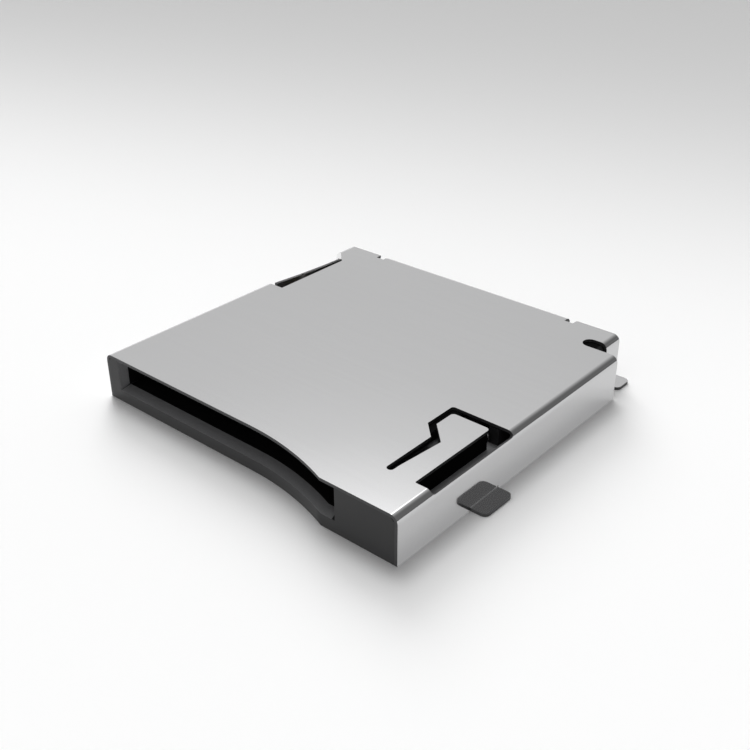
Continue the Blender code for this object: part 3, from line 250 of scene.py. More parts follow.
class Paint:
    """A Principled material whose inputs are wired up one at a time."""

    def __init__(self, name, roughness, metallic=0.0, specular=0.5):
        self.material = bpy.data.materials.new(name)
        self.material.use_nodes = True
        self.tree = self.material.node_tree
        self.shader = self.tree.nodes["Principled BSDF"]
        self.shader.inputs["Roughness"].default_value = roughness
        self.shader.inputs["Metallic"].default_value = metallic
        self.shader.inputs["Specular IOR Level"].default_value = specular
        self.coords = self.tree.nodes.new("ShaderNodeTexCoord").outputs["Object"]

    def link(self, source, target):
        self.tree.links.new(source, target)

    def noise(self, per_mm, stretch=(1, 1, 1), detail=3.0):
        """Noise of that many lumps per millimetre, stretched along an axis by a scale below 1."""
        mapping = self.tree.nodes.new("ShaderNodeMapping")
        mapping.inputs["Scale"].default_value = [per_mm / MM * s for s in stretch]
        texture = self.tree.nodes.new("ShaderNodeTexNoise")
        texture.inputs["Scale"].default_value = 1.0
        texture.inputs["Detail"].default_value = detail
        self.link(self.coords, mapping.inputs["Vector"])
        self.link(mapping.outputs["Vector"], texture.inputs["Vector"])
        return texture.outputs["Fac"]

    def between(self, factor, low, high, start=0.3, end=0.7):
        """A value that goes from low to high as the factor goes from start to end."""
        node = self.tree.nodes.new("ShaderNodeMapRange")
        node.inputs["From Min"].default_value = start
        node.inputs["From Max"].default_value = end
        node.inputs["To Min"].default_value = low
        node.inputs["To Max"].default_value = high
        self.link(factor, node.inputs["Value"])
        return node.outputs["Result"]

    def mix(self, factor, one, other):
        """Colour between two, each a value triple or another node's output."""
        node = self.tree.nodes.new("ShaderNodeMix")
        node.data_type = "RGBA"
        self.link(factor, node.inputs["Factor"])
        for place, colour in zip(MIX_COLOURS, (one, other)):
            if isinstance(colour, tuple):
                node.inputs[place].default_value = (*colour, 1.0)
            else:
                self.link(colour, node.inputs[place])
        return node.outputs[MIX_RESULT]

    def mottled(self, factor, colours):
        """Colour that goes from the darker to the paler one with the factor."""
        return self.mix(self.between(factor, 0.0, 1.0), *colours)

    def height(self):
        split = self.tree.nodes.new("ShaderNodeSeparateXYZ")
        self.link(self.coords, split.inputs[0])
        return split.outputs["Z"]

    def colour(self, source):
        self.link(source, self.shader.inputs["Base Color"])

    def rough(self, source):
        self.link(source, self.shader.inputs["Roughness"])

    def bump(self, factor, depth, strength):
        node = self.tree.nodes.new("ShaderNodeBump")
        node.inputs["Distance"].default_value = depth
        node.inputs["Strength"].default_value = strength
        self.link(factor, node.inputs["Height"])
        self.link(node.outputs["Normal"], self.shader.inputs["Normal"])


def steel_paint():
    """Bright rolled steel: faint streaks along its width, and a faint cloud in its gloss."""
    paint = Paint("bright_steel", roughness=0.08, metallic=1.0)
    rolled = paint.noise(per_mm=3.0, stretch=(0.02, 1.0, 1.0))
    cloud = paint.noise(per_mm=0.25)
    paint.colour(paint.mottled(rolled, STEEL_COLOURS))
    paint.rough(paint.between(cloud, 0.078, 0.09))
    return paint.material


def cut_steel_painted_shade_paint():
    """The sheet's cut edges, torn by the press, which look dark: the torn relief is the steel's
    own, and the dark colour is painted shade.
    """
    paint = Paint("cut_steel_painted_shade", roughness=0.45, metallic=0.35)
    torn = paint.noise(per_mm=6.0, stretch=(1.0, 1.0, 0.4))
    paint.colour(paint.mottled(torn, CUT_STEEL_PAINTED_SHADE_COLOURS))
    paint.bump(torn, TORN_RELIEF, strength=0.5)
    return paint.material


def painted_highlight_edge_paint():
    """The cut edge at the window's rear, which the photo shows bright: a pale mirror copy of the
    steel as a painted highlight.
    """
    paint = Paint("painted_highlight_edge", roughness=0.12, metallic=1.0)
    cloud = paint.noise(per_mm=2.0)
    paint.colour(paint.mottled(cloud, PAINTED_HIGHLIGHT_EDGE_COLOURS))
    paint.rough(paint.between(cloud, 0.08, 0.16))
    return paint.material


def moulding_paint():
    """Black plastic with a fine grain, and a faint cloud in its colour and gloss."""
    paint = Paint("black_moulding", roughness=0.42, specular=0.35)
    grain = paint.noise(per_mm=14.0, detail=4.0)
    cloud = paint.noise(per_mm=0.4)
    paint.colour(paint.mottled(cloud, MOULDING_COLOURS))
    paint.rough(paint.between(cloud, 0.38, 0.46))
    paint.bump(grain, GRAIN_RELIEF, strength=0.6)
    return paint.material


def painted_shade_paint():
    """The channel's walls and the tops under the sheet, which the photo shows quite black: painted
    shade, a near-black colour that stands in for the shade falling there.
    """
    paint = Paint("painted_shade_moulding", roughness=0.5, specular=0.0)
    cloud = paint.noise(per_mm=0.4)
    paint.colour(paint.mottled(cloud, PAINTED_SHADE_COLOURS))
    paint.rough(paint.between(cloud, 0.45, 0.55))
    return paint.material


def matt_painted_light_paint():
    """The lead-in and the ledge, which the photo shows paler: matt plastic, with a paler colour as
    painted light that stands in for the light falling on these faces.
    """
    paint = Paint("matt_painted_light_moulding", roughness=0.6, specular=0.35)
    grain = paint.noise(per_mm=14.0, detail=4.0)
    paint.colour(paint.mottled(grain, PAINTED_LIGHT_COLOURS))
    paint.bump(grain, GRAIN_RELIEF, strength=0.6)
    return paint.material


def slider_paint():
    """Dark grey plastic with the moulding's grain."""
    paint = Paint("eject_plastic", roughness=0.4, specular=0.4)
    grain = paint.noise(per_mm=12.0, detail=4.0)
    cloud = paint.noise(per_mm=0.5)
    paint.colour(paint.mottled(cloud, SLIDER_COLOURS))
    paint.bump(grain, GRAIN_RELIEF, strength=0.5)
    return paint.material


def contact_paint(name, colours, gloss, gold_plated):
    """Drawn strip, tinned at the tail, with gold where the card's pads touch if it is plated."""
    paint = Paint(name, roughness=0.22, metallic=1.0)
    drawn = paint.noise(per_mm=9.0, stretch=(1.0, 0.05, 1.0))
    height = paint.height()
    tin = paint.between(height, 1.0, 0.0, *TIN_ENDS)
    body = paint.mottled(drawn, colours)
    if gold_plated:
        body = paint.mix(paint.between(height, 0.0, 1.0, *GOLD_STARTS), body, GOLD)
    paint.colour(paint.mix(tin, body, TIN))
    paint.rough(paint.between(drawn, *gloss))
    paint.bump(drawn, DRAWN_RELIEF, strength=0.4)
    return paint.material


def spring_paint():
    """Drawn stainless wire and strip."""
    paint = Paint("spring_wire", roughness=0.25, metallic=1.0)
    drawn = paint.noise(per_mm=10.0, stretch=(1.0, 0.2, 1.0))
    paint.colour(paint.mottled(drawn, SPRING_COLOURS))
    paint.rough(paint.between(drawn, 0.2, 0.32))
    return paint.material


# Meshes: reading and writing them as whole arrays

def read_three(things, quantity):
    """A three-part quantity of all vertices or faces, as one row each."""
    values = np.empty(len(things) * 3)
    things.foreach_get(quantity, values)
    return values.reshape(-1, 3)


def move_vertices(mesh, places):
    mesh.vertices.foreach_set("co", places.ravel())
    mesh.update()


def set_materials(mesh, numbers):
    mesh.polygons.foreach_set("material_index", numbers.astype(np.int32))


def merged_copy(name):
    """The node's triangles joined up, with the edges inside each flat face dissolved."""
    mesh = nodes[name].data.copy()
    mesh.name = name + "_finished"
    work = bmesh.new()
    work.from_mesh(mesh)
    bmesh.ops.remove_doubles(work, verts=work.verts, dist=MERGE)
    bmesh.ops.dissolve_limit(work, angle_limit=FLAT_UNDER, verts=work.verts, edges=work.edges)
    work.to_mesh(mesh)
    work.free()
    mesh.shade_smooth()
    mesh.set_sharp_from_angle(angle=SHARP_OVER)
    return mesh


def keep_faces_flat(piece):
    """Shade each corner by the largest face that meets there."""
    flat = piece.modifiers.new("flat_faces", "WEIGHTED_NORMAL")
    flat.keep_sharp = True
    flat.weight = LARGEST_FACES_ONLY


def round_edges(piece, width):
    bevel = piece.modifiers.new("edges", "BEVEL")
    bevel.width = width
    bevel.segments = EDGE_SEGMENTS
    bevel.limit_method = "ANGLE"
    bevel.angle_limit = SHARP_OVER
    keep_faces_flat(piece)


def finished(name, mesh, body, materials, replaced):
    """Put a mesh in the place of a node, on its body, with its materials."""
    piece = bpy.data.objects.new(name, mesh)
    bpy.context.scene.collection.objects.link(piece)
    mesh.materials.clear()
    for material in materials:
        mesh.materials.append(material)
    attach(piece, body)
    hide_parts(replaced)
    return piece


# Which faces take which material

def cut_faces(mesh, thickness, room):
    """The faces that two edges or more take across the sheet's thickness, and no wider ones."""
    places = read_three(mesh.vertices, "co")
    ends = np.empty(len(mesh.edges) * 2, int)
    mesh.edges.foreach_get("vertices", ends)
    ends = ends.reshape(-1, 2)
    lengths = np.linalg.norm(places[ends[:, 0]] - places[ends[:, 1]], axis=1)
    across = np.abs(lengths - thickness) < room * thickness
    edge_of_loop = np.empty(len(mesh.loops), int)
    mesh.loops.foreach_get("edge_index", edge_of_loop)
    starts = np.empty(len(mesh.polygons), int)
    mesh.polygons.foreach_get("loop_start", starts)
    spans = np.add.reduceat(across[edge_of_loop].astype(int), starts)
    around = np.add.reduceat(lengths[edge_of_loop], starts)
    areas = np.empty(len(mesh.polygons))
    mesh.polygons.foreach_get("area", areas)
    return (spans >= 2) & (areas < thickness * around / 2)


def mark_shell(mesh):
    """Give material 1, dark with painted shade, to the cut edges, and material 2, a painted
    highlight, to the bright one at the window's rear.
    """
    cut = cut_faces(mesh, SHEET, SHELL_CUT_ROOM)
    x, y, _ = read_three(mesh.polygons, "center").T
    # Painted highlight: the cut edge at the window's rear gets a pale mirror colour
    bright = (x < BRIGHT_EDGE_LEFT_OF) & (np.abs(y - WINDOW_REAR) < EDGE_ROOM)
    set_materials(mesh, np.where(cut & bright, 2, cut))


def mark_protect_leaf(mesh):
    """Give material 1, the cut steel painted in shade, to the cut edges, with all of the risen top
    among them.
    """
    cut = cut_faces(mesh, LEAF_SHEET, LEAF_CUT_ROOM)
    cut |= read_three(mesh.polygons, "center")[:, 2] > LEAF_TOP + LEAF_RISES / 2
    set_materials(mesh, cut)


def mark_housing(mesh):
    """Give material 1 to the faces painted in shade, near black: the card channel behind its
    lead-in, the top under the sheet and the rib beside the finger. Give material 2 to the
    faces painted paler as if lit: the lead-in and the ledge beside the finger."""
    x, y, z = read_three(mesh.polygons, "center").T
    right, rearward, up = read_three(mesh.polygons, "normal").T
    # Painted shade: these faces get a near-black colour for the shade in the channel, under the
    # sheet and beside the finger
    painted_shade = (x > CHANNEL_LEFT - EDGE_ROOM) & (x < CHANNEL_RIGHT + EDGE_ROOM)
    painted_shade &= (y > LEAD_IN_CREST) & (z > CHANNEL_LOW) & (z < CHANNEL_HIGH)
    painted_shade &= rearward < TURNED
    painted_shade |= (up > SQUARE) & (np.abs(z - HOUSING_TOP) < EDGE_ROOM)
    painted_shade |= (right > SQUARE) & (np.abs(x - RIB_FACE) < EDGE_ROOM) & (z > LEDGE_HEIGHT)
    # Painted light: the lead-in and the ledge get the paler colour, as if lit
    slope = (up > SLOPED) & (up < NEARLY_SQUARE) & (z < LEAD_IN_HEIGHT)
    side = (right > NEARLY_SQUARE) & (x < CHANNEL_LEFT + EDGE_ROOM)
    lead_in = (slope | side) & (y < LEAD_IN_CREST)
    ledge = (up > SQUARE) & (np.abs(z - LEDGE_HEIGHT) < EDGE_ROOM) & (x > CHANNEL_RIGHT)
    set_materials(mesh, np.where(lead_in | ledge, 2, painted_shade))


# Changes to the copied shapes

def raise_top(mesh):
    """Raise the leaf's top edge, z + rise * share(y), ahead of where the plate covers it."""
    places = read_three(mesh.vertices, "co")
    share = np.clip((LEAF_RISES_FRONT_OF - places[:, 1]) / LEAF_RISE_RUN, 0, 1)
    top = places[:, 2] > LEAF_TOP - EDGE_ROOM
    places[:, 2] += LEAF_RISES * share * top
    move_vertices(mesh, places)


def swell(mesh):
    """Press the moulding out against the sheet: x and z grow by swell * share, where the share
    goes from 0 where the corner's arc starts to 1 at the moulding's side or top."""
    places = read_three(mesh.vertices, "co")
    sideways = np.clip((np.abs(places[:, 0]) - BEND_AXIS_SIDE) / HOUSING_ARC, 0, 1)
    upward = np.clip((places[:, 2] - BEND_AXIS_HEIGHT) / HOUSING_ARC, 0, 1)
    places[:, 0] += HOUSING_SWELLS * sideways * np.sign(places[:, 0])
    places[:, 2] += HOUSING_SWELLS * upward
    move_vertices(mesh, places)


def thicken_bend_end(mesh):
    """Draw the inner arc of the bend inwards at the window's rear edge, by reach sin(2 a) for
    the angle a along the arc, so that the edge hides the dark inside, as in the photo."""
    places = read_three(mesh.vertices, "co")
    outward = -BEND_AXIS_SIDE - places[:, 0]
    upward = places[:, 2] - BEND_AXIS_HEIGHT
    on_arc = np.abs(np.hypot(outward, upward) - INNER_BEND) < EDGE_ROOM / 2
    on_arc &= (outward > 0) & (upward > 0)
    on_arc &= np.abs(places[:, 1] - WINDOW_REAR) < EDGE_ROOM
    share = np.sin(2 * np.arctan2(upward, outward)) * on_arc
    places[:, 0] += BEND_END_REACH * share
    places[:, 2] -= BEND_END_REACH * share
    move_vertices(mesh, places)


def close_groove(mesh):
    """Draw the rear end of the groove at the mouth's left corner onto the lead-in's slope."""
    places = read_three(mesh.vertices, "co")
    end = np.linalg.norm(places - GROOVE_END, axis=1) < EDGE_ROOM / 2
    places[end] = GROOVE_CLOSED_AT
    move_vertices(mesh, places)


# Swept pieces: a profile carried along a path, worked out as whole arrays

def bent_path(corners):
    """Points along (a, b, radius) corners: straight runs, and arcs of that radius between."""
    points = [np.array([corners[0][:2]], float)]
    for before, here, after in zip(corners, corners[1:], corners[2:]):
        at = np.array(here[:2], float)
        back, on = np.array(before[:2]) - at, np.array(after[:2]) - at
        back_run, on_run = np.linalg.norm(back), np.linalg.norm(on)
        back, on = back / back_run, on / on_run
        half = math.acos(np.clip(back @ on, -1, 1)) / 2
        run = min(here[2] / math.tan(half), NEARLY_HALF * min(back_run, on_run))
        middle = (back + on) / np.linalg.norm(back + on)
        centre = at + middle * run / math.cos(half)
        first, last = at + back * run - centre, at + on * run - centre
        start = math.atan2(first[1], first[0])
        turn = math.atan2(first[0] * last[1] - first[1] * last[0], first @ last)
        angles = start + turn * np.linspace(0, 1, BEND_STEPS + 1)
        radius = np.linalg.norm(first)
        points.append(centre + radius * np.stack([np.cos(angles), np.sin(angles)], axis=1))
    points.append(np.array([corners[-1][:2]], float))
    return np.concatenate(points)


def lengths_along(path):
    return np.concatenate([[0.0], np.cumsum(np.linalg.norm(np.diff(path, axis=0), axis=1))])


def with_stations(path, extra):
    """The path with more points on it, at the given lengths from its start in metres, to
    the nanometre."""
    lengths = lengths_along(path)
    wanted = np.unique(np.concatenate([lengths, extra]).round(9))
    return np.stack([np.interp(wanted, lengths, path[:, axis]) for axis in (0, 1)], axis=1)


def at_side(path, x):
    """A path of (depth, height) rows as points at one x."""
    return np.stack([np.full(len(path), x), path[:, 0], path[:, 1]], axis=1)


def swept(name, path, across, profile, scale=None):
    """Closed surface: place(i, j) = path(i) + across(i) u(i, j) + side(i) v(i, j), where
    (u, v) is the profile's point j, scaled at station i, and side is square to both."""
    tangent = np.gradient(path, axis=0)
    tangent /= np.linalg.norm(tangent, axis=1, keepdims=True)
    across = np.broadcast_to(across, path.shape)
    side = np.cross(tangent, across)
    side /= np.linalg.norm(side, axis=1, keepdims=True)
    if scale is None:
        scale = np.ones((len(path), 2))
    u = profile[None, :, 0] * scale[:, :1]
    v = profile[None, :, 1] * scale[:, 1:]
    grid = path[:, None] + across[:, None] * u[..., None] + side[:, None] * v[..., None]
    rows, columns = grid.shape[:2]
    index = np.arange(rows * columns).reshape(rows, columns)
    after = np.roll(index, -1, axis=1)
    quads = np.stack([index[:-1], after[:-1], after[1:], index[1:]], axis=-1).reshape(-1, 4)
    faces = quads.tolist() + [index[0][::-1].tolist(), index[-1].tolist()]
    mesh = bpy.data.meshes.new(name)
    mesh.from_pydata(grid.reshape(-1, 3), [], faces)
    work = bmesh.new()
    work.from_mesh(mesh)
    bmesh.ops.recalc_face_normals(work, faces=work.faces)
    work.to_mesh(mesh)
    work.free()
    mesh.shade_smooth()
    mesh.set_sharp_from_angle(angle=SWEPT_SHARP_OVER)
    return mesh


def round_profile(diameter):
    """Circle: (r cos t, r sin t)."""
    turn = np.linspace(0, 2 * math.pi, ROUND_SIDES, endpoint=False)
    return np.stack([np.cos(turn), np.sin(turn)], axis=1) * diameter / 2


def strip_profile(width, thickness):
    """Rectangle with rounded corners: each corner is its centre plus an arc."""
    turn = np.linspace(0, math.pi / 2, CORNER_POINTS)
    arcs = []
    for quarter, (right, up) in enumerate(((1, 1), (-1, 1), (-1, -1), (1, -1))):
        centre = np.array([
            right * (width / 2 - STRIP_CORNER), up * (thickness / 2 - STRIP_CORNER)])
        angle = turn + quarter * math.pi / 2
        arcs.append(centre + STRIP_CORNER * np.stack([np.cos(angle), np.sin(angle)], axis=1))
    return np.concatenate(arcs)


def domed(path, radius):
    """The path with rounded ends: its end stations shrink as (cos t) over a run of r sin t."""
    turn = np.linspace(0, NEARLY_QUARTER_TURN, DOME_STEPS)
    first = path[1] - path[0]
    last = path[-1] - path[-2]
    first /= np.linalg.norm(first)
    last /= np.linalg.norm(last)
    start = path[0] + first * radius * (1 - np.sin(turn[::-1]))[:, None]
    end = path[-1] - last * radius * (1 - np.sin(turn))[:, None]
    shrink = np.concatenate([np.cos(turn[::-1]), np.ones(len(path) - 2), np.cos(turn)])
    return np.concatenate([start, path[1:-1], end]), np.stack([shrink, shrink], axis=1)


def contact_mesh(name, x, crest_at, crest, width, beam):
    """Strip from its tail's foot up to the crest that the card rides on, and over its tip.
    Depths are from the front of the part."""
    root = crest_at + beam
    foot = STRIP_SHEET / 2
    path = bent_path([
        (TOTAL_DEPTH, foot, 0), (TOTAL_DEPTH - TAIL_FOOT, foot, STRIP_BEND),
        (TOTAL_DEPTH - TAIL_FOOT - TAIL_RAMP, STRIP_SEAT, STRIP_BEND),
        (root, STRIP_SEAT, STRIP_BEND), (crest_at, crest, STRIP_CREST_BEND),
        (crest_at - CONTACT_TIP, crest - CONTACT_TIP_DROP, 0)])
    length = lengths_along(path)[-1]
    taper, tip, nose = length - CONTACT_TIP - beam, length - CONTACT_TIP, length - TIP_NOSE
    path = with_stations(path, [taper, tip, nose])
    narrow = min(CONTACT_TIP_WIDTH, width * NARROWEST_TIP) / width
    share = np.interp(lengths_along(path), [0, taper, tip, nose, length],
                      [1, 1, narrow, narrow, narrow * TIP_NOSE_SHARE])
    scale = np.stack([share, np.ones(len(path))], axis=1)
    path[:, 0] -= TOTAL_DEPTH / 2
    return swept(name, at_side(path, x), (1.0, 0.0, 0.0), strip_profile(width, STRIP_SHEET), scale)


def rod_mesh():
    """Bent round wire: pin, straight run and the end that follows the cam track."""
    low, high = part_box("link_rod")
    top = high[2] - ROD_WIRE / 2
    front = low[1] + ROD_WIRE / 2
    path = bent_path([
        (front, top - ROD_PIN_DEPTH, 0), (front, top, ROD_CORNER),
        (front + ROD_LENGTH, top, ROD_CORNER), (front + ROD_LENGTH, top - ROD_END_DROP, 0)])
    line, scale = domed(at_side(path, (low[0] + high[0]) / 2), ROD_WIRE / 2)
    return swept("link_rod_wire", line, (1.0, 0.0, 0.0), round_profile(ROD_WIRE), scale)


def spring_mesh():
    """Helix: (r cos t, length share(t), r sin t), with one close turn at each end."""
    low, high = (np.array(list(corner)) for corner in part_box("coil_spring"))
    centre = (low + high) / 2
    radius = (SPRING_DIAMETER - SPRING_WIRE) / 2
    start, end = low[1] + SPRING_WIRE / 2, high[1] - SPRING_WIRE / 2
    turns = np.linspace(0, SPRING_TURNS, SPRING_TURNS * STEPS_PER_TURN + 1)
    close = SPRING_CLOSE_TURN / (SPRING_TURNS - 2 + 2 * SPRING_CLOSE_TURN)
    share = np.interp(turns, [0, 1, SPRING_TURNS - 1, SPRING_TURNS], [0, close, 1 - close, 1])
    angle = 2 * math.pi * turns
    out = np.stack([np.cos(angle), np.zeros(len(angle)), np.sin(angle)], axis=1)
    line = out * radius
    line[:, 0] += centre[0]
    line[:, 1] = start + (end - start) * share
    line[:, 2] += centre[2]
    return swept("coil_spring_wire", line, out, round_profile(SPRING_WIRE))


# The pieces, each in the place of its node

def middle_x(node):
    low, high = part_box(node)
    return (low.x + high.x) / 2


def dress_shell():
    mesh = merged_copy("shell")
    materials = [steel_paint(), cut_steel_painted_shade, painted_highlight_edge_paint()]
    shell = finished("shell_sheet", mesh, "frame", materials, "shell")
    mark_shell(mesh)
    thicken_bend_end(mesh)
    keep_faces_flat(shell)


def dress_housing():
    mesh = merged_copy("housing")
    materials = [moulding_paint(), painted_shade_paint(), matt_painted_light_paint()]
    housing = finished("housing_moulding", mesh, "frame", materials, "housing")
    close_groove(mesh)
    mark_housing(mesh)
    swell(mesh)
    round_edges(housing, MOULD_EDGE)


def dress_contacts():
    """The nine signal contacts, and the moving contact of the card-detect switch."""
    metal = contact_paint("plated_contact", CONTACT_COLOURS, CONTACT_GLOSS, gold_plated=True)
    for number in CONTACT_NUMBERS:
        node = f"contact_{number}"
        name = node + "_strip"
        crest_at = FORWARD_CREST_AT if number == FORWARD_CONTACT else CONTACT_CREST_AT
        mesh = contact_mesh(
            name, middle_x(node), crest_at, CONTACT_CREST, CONTACT_WIDTH, CONTACT_BEAM)
        finished(name, mesh, "frame", [metal], node)
    mesh = contact_mesh(
        "detect_leaf_strip", middle_x("detect_leaf"), DETECT_CREST_AT, DETECT_CREST,
        DETECT_WIDTH, DETECT_BEAM)
    finished("detect_leaf_strip", mesh, "frame", [switch_metal], "detect_leaf")


def dress_wires():
    """Link rod and coil spring. The spring gets a mesh of its own."""
    finished("link_rod_wire", rod_mesh(), "rod_body", [spring_steel], "link_rod")
    spring = finished(
        "coil_spring_wire", spring_mesh(), "frame", [spring_steel],
        "coil_spring")
    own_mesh(spring)


def dress_leaves():
    mesh = merged_copy("protect_leaf")
    raise_top(mesh)
    finished(
        "protect_leaf_sheet", mesh, "frame", [switch_metal, cut_steel_painted_shade],
        "protect_leaf")
    mark_protect_leaf(mesh)
    mesh = merged_copy("lock_leaf")
    finished(
        "lock_leaf_sheet", mesh, "slider_body", [spring_steel, cut_steel_painted_shade],
        "lock_leaf")
    set_materials(mesh, cut_faces(mesh, LOCK_SHEET, LEAF_CUT_ROOM))


def dress_posts():
    """The fixed contacts of the two switches."""
    for node in ("detect_post", "protect_post"):
        finished(
            node + "_sheet", merged_copy(node), "frame", [switch_metal], node)


def dress_slider():
    slider = finished(
        "slider_moulding", merged_copy("slider"), "slider_body",
        [slider_paint()], "slider")
    round_edges(slider, MOULD_EDGE)


# Camera

def place_camera():
    camera = bpy.data.objects.new("camera", bpy.data.cameras.new("camera"))
    bpy.context.scene.collection.objects.link(camera)
    level = math.cos(CAMERA_FALL)
    back = Vector((math.sin(CAMERA_TURN) * level, -math.cos(CAMERA_TURN) * level,
                   math.sin(CAMERA_FALL)))
    facing = back.to_track_quat("Z", "Y").to_matrix().to_4x4()
    camera.matrix_world = (
        Matrix.Translation(CAMERA_PLACE) @ facing @ Matrix.Rotation(CAMERA_ROLL, 4, "Z"))
    camera.data.lens = CAMERA_LENS
    camera.data.sensor_width = CAMERA_SENSOR
    camera.data.clip_start = CAMERA_NEAR
    bpy.context.scene.camera = camera


# Floor and light

def combine(tree, operation, one, other):
    """Result of a maths step on two values, each a number or another node's output."""
    node = tree.nodes.new("ShaderNodeMath")
    node.operation = operation
    for place, source in enumerate((one, other)):
        if isinstance(source, float):
            node.inputs[place].default_value = source
        else:
            tree.links.new(source, node.inputs[place])
    return node.outputs[0]


def floor_painted_light(tree):
    """Painted pool of light: grey = far + paler / (1 + max(0, d) ^ power), for the distance d
    away from the camera and to its right, in runs."""
    coords = tree.nodes.new("ShaderNodeTexCoord").outputs["Object"]
    away = Vector((-math.sin(CAMERA_TURN), math.cos(CAMERA_TURN), 0.0))
    side = Vector((math.cos(CAMERA_TURN), math.sin(CAMERA_TURN), 0.0))
    dot = tree.nodes.new("ShaderNodeVectorMath")
    dot.operation = "DOT_PRODUCT"
    dot.inputs[1].default_value = (away + FLOOR_FALL_SIDEWAYS * side) / FLOOR_FALL_RUN
    tree.links.new(coords, dot.inputs[0])
    distance = combine(tree, "MAXIMUM", dot.outputs["Value"], 0.0)
    fall = combine(tree, "ADD", combine(tree, "POWER", distance, FLOOR_FALL_POWER), 1.0)
    return combine(tree, "ADD", combine(tree, "DIVIDE", FLOOR_PALER, fall), FLOOR_FAR_GREY)


def light_floor():
    """Wide floor, white under the part and grey far behind it, as a painted pool of light that
    falls off.
    """
    bpy.ops.mesh.primitive_plane_add(size=FLOOR_SIZE)
    floor = bpy.context.object
    floor.name = "floor"
    material = bpy.data.materials.new("white_floor")
    material.use_nodes = True
    tree = material.node_tree
    shader = tree.nodes["Principled BSDF"]
    shader.inputs["Roughness"].default_value = FLOOR_ROUGHNESS
    shader.inputs["Specular IOR Level"].default_value = 0.0
    tree.links.new(floor_painted_light(tree), shader.inputs["Base Color"])
    glow = tree.nodes.new("ShaderNodeEmission")
    glow.inputs["Strength"].default_value = FLOOR_GLOW
    rays = tree.nodes.new("ShaderNodeLightPath").outputs
    share = combine(tree, "MULTIPLY", rays["Is Glossy Ray"], FLOOR_GLOW_SHARE)
    blend = tree.nodes.new("ShaderNodeMixShader")
    tree.links.new(share, blend.inputs[0])
    tree.links.new(shader.outputs[0], blend.inputs[1])
    tree.links.new(glow.outputs[0], blend.inputs[2])
    tree.links.new(blend.outputs[0], tree.nodes["Material Output"].inputs["Surface"])
    floor.data.materials.append(material)


def unit_vector(turn, rise):
    """Unit vector at a turn from +X and a rise from the level."""
    level = math.cos(rise)
    return Vector((math.cos(turn) * level, math.sin(turn) * level, math.sin(rise)))


class Sky:
    """Brightness of the studio by direction, built from a few node steps."""

    def __init__(self, tree):
        self.tree = tree
        self.direction = tree.nodes.new("ShaderNodeTexCoord").outputs["Generated"]
        split = tree.nodes.new("ShaderNodeSeparateXYZ")
        tree.links.new(self.direction, split.inputs[0])
        self.x, self.y, self.z = split.outputs

    def eased(self, source, span, full=1.0):
        """Value that eases from 0 to full as the source goes over the span."""
        node = self.tree.nodes.new("ShaderNodeMapRange")
        node.interpolation_type = "SMOOTHSTEP"
        for name, number in (("From Min", span[0]), ("From Max", span[1]),
                             ("To Min", 0.0), ("To Max", full)):
            node.inputs[name].default_value = number
        self.tree.links.new(source, node.inputs["Value"])
        return node.outputs["Result"]

    def times(self, one, other):
        return combine(self.tree, "MULTIPLY", one, other)

    def plus(self, one, other):
        return combine(self.tree, "ADD", one, other)

    def toward(self, turn, rise):
        """Cosine of the angle from a place in the sky, with its turn from +X."""
        node = self.tree.nodes.new("ShaderNodeVectorMath")
        node.operation = "DOT_PRODUCT"
        node.inputs[1].default_value = unit_vector(turn, rise)
        self.tree.links.new(self.direction, node.inputs[0])
        return node.outputs["Value"]

    def curve(self, source, stops, height):
        """Value read off straight lines between (source, share of the height) stops."""
        node = self.tree.nodes.new("ShaderNodeValToRGB")
        ramp = node.color_ramp
        first, last = stops[0][0], stops[-1][0]
        while len(ramp.elements) < len(stops):
            ramp.elements.new(0.5)
        for element, (place, share) in zip(ramp.elements, stops):
            element.position = (place - first) / (last - first)
            element.color = (share, share, share, 1.0)
        fitted = self.tree.nodes.new("ShaderNodeMapRange")
        fitted.inputs["From Min"].default_value = first
        fitted.inputs["From Max"].default_value = last
        self.tree.links.new(source, fitted.inputs["Value"])
        self.tree.links.new(fitted.outputs["Result"], node.inputs["Fac"])
        return self.times(node.outputs["Color"], height)


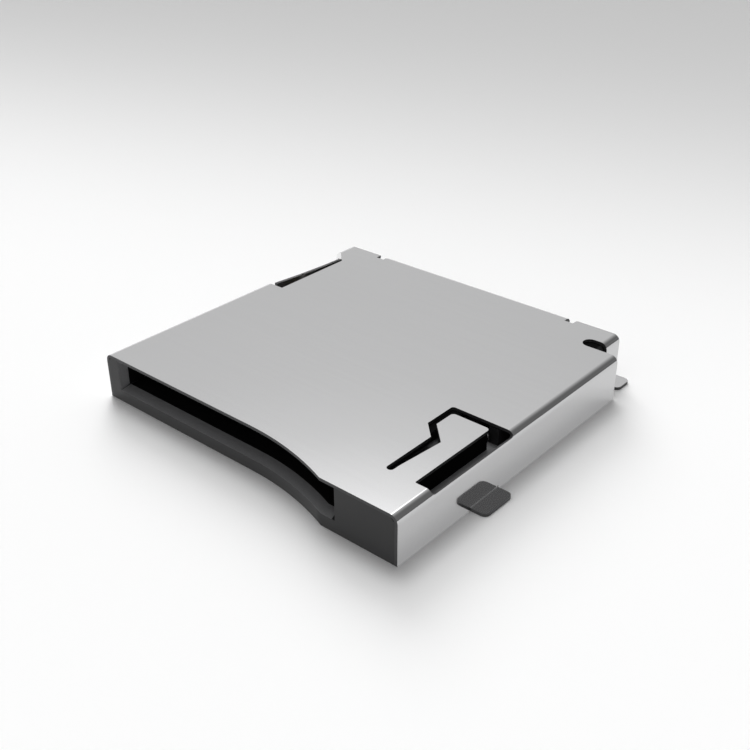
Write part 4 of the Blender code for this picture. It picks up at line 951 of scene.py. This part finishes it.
def light_world():
    """Soft studio: one softbox behind the left and grey walls, with an even backdrop for the
    camera."""
    world = bpy.data.worlds.new("studio")
    bpy.context.scene.world = world
    world.use_nodes = True
    tree = world.node_tree
    sky = Sky(tree)
    softbox = sky.curve(sky.toward(SOFTBOX_TURN, SOFTBOX_RISE), SOFTBOX_SHARES, SOFTBOX_STRENGTH)
    softbox = sky.times(softbox, sky.eased(sky.x, SOFTBOX_X))
    rear_left = sky.times(sky.eased(sky.x, REAR_LEFT_X), sky.eased(sky.y, REAR_LEFT_Y))
    walls = sky.plus(sky.times(rear_left, REAR_LEFT_GREY), WALL_GREY)
    front = sky.eased(sky.y, FRONT_Y, FRONT_LIGHT)
    light = sky.plus(softbox, sky.plus(walls, front))
    low_rear = sky.times(
        sky.eased(sky.z, LOW_REAR_Z, LOW_REAR_GLOW),
        sky.times(sky.eased(sky.x, LOW_REAR_X), sky.eased(sky.y, LOW_REAR_Y)))
    pale = sky.plus(low_rear, sky.eased(sky.y, FRONT_GLOW_Y, FRONT_GLOW))
    rays = tree.nodes.new("ShaderNodeLightPath").outputs
    light = sky.plus(light, sky.times(pale, rays["Is Glossy Ray"]))
    for_camera = sky.times(rays["Is Camera Ray"], BACKDROP)
    not_camera = combine(tree, "SUBTRACT", 1.0, rays["Is Camera Ray"])
    light = sky.plus(for_camera, sky.times(light, not_camera))
    background = tree.nodes["Background"].inputs
    tree.links.new(light, background["Strength"])
    background["Color"].default_value = (1, 1, 1, 1)


def add_lamp(name, elevation, share):
    """Wide soft lamp behind the left that gives the floor this share of its light. Polished
    metal doesn't show it, only the softbox and the walls."""
    lamp = bpy.data.lights.new(name, "SUN")
    lamp.angle = LAMP_WIDTH
    lamp.energy = share * math.pi / math.sin(elevation)
    holder = bpy.data.objects.new(name, lamp)
    bpy.context.scene.collection.objects.link(holder)
    toward = unit_vector(LAMP_TURN, elevation)
    holder.rotation_euler = toward.to_track_quat("Z", "Y").to_euler()
    holder.visible_glossy = False


# Metals that several pieces share
cut_steel_painted_shade = cut_steel_painted_shade_paint()
switch_metal = contact_paint("switch_contact", SWITCH_COLOURS, SWITCH_GLOSS, gold_plated=False)
spring_steel = spring_paint()

dress_shell()
dress_housing()
dress_contacts()
dress_wires()
dress_leaves()
dress_posts()
dress_slider()

place_camera()
light_floor()
light_world()
for lamp_name, (lamp_height, lamp_share) in LAMPS.items():
    add_lamp(lamp_name, lamp_height, lamp_share)
bpy.context.scene.view_settings.view_transform = "Standard"
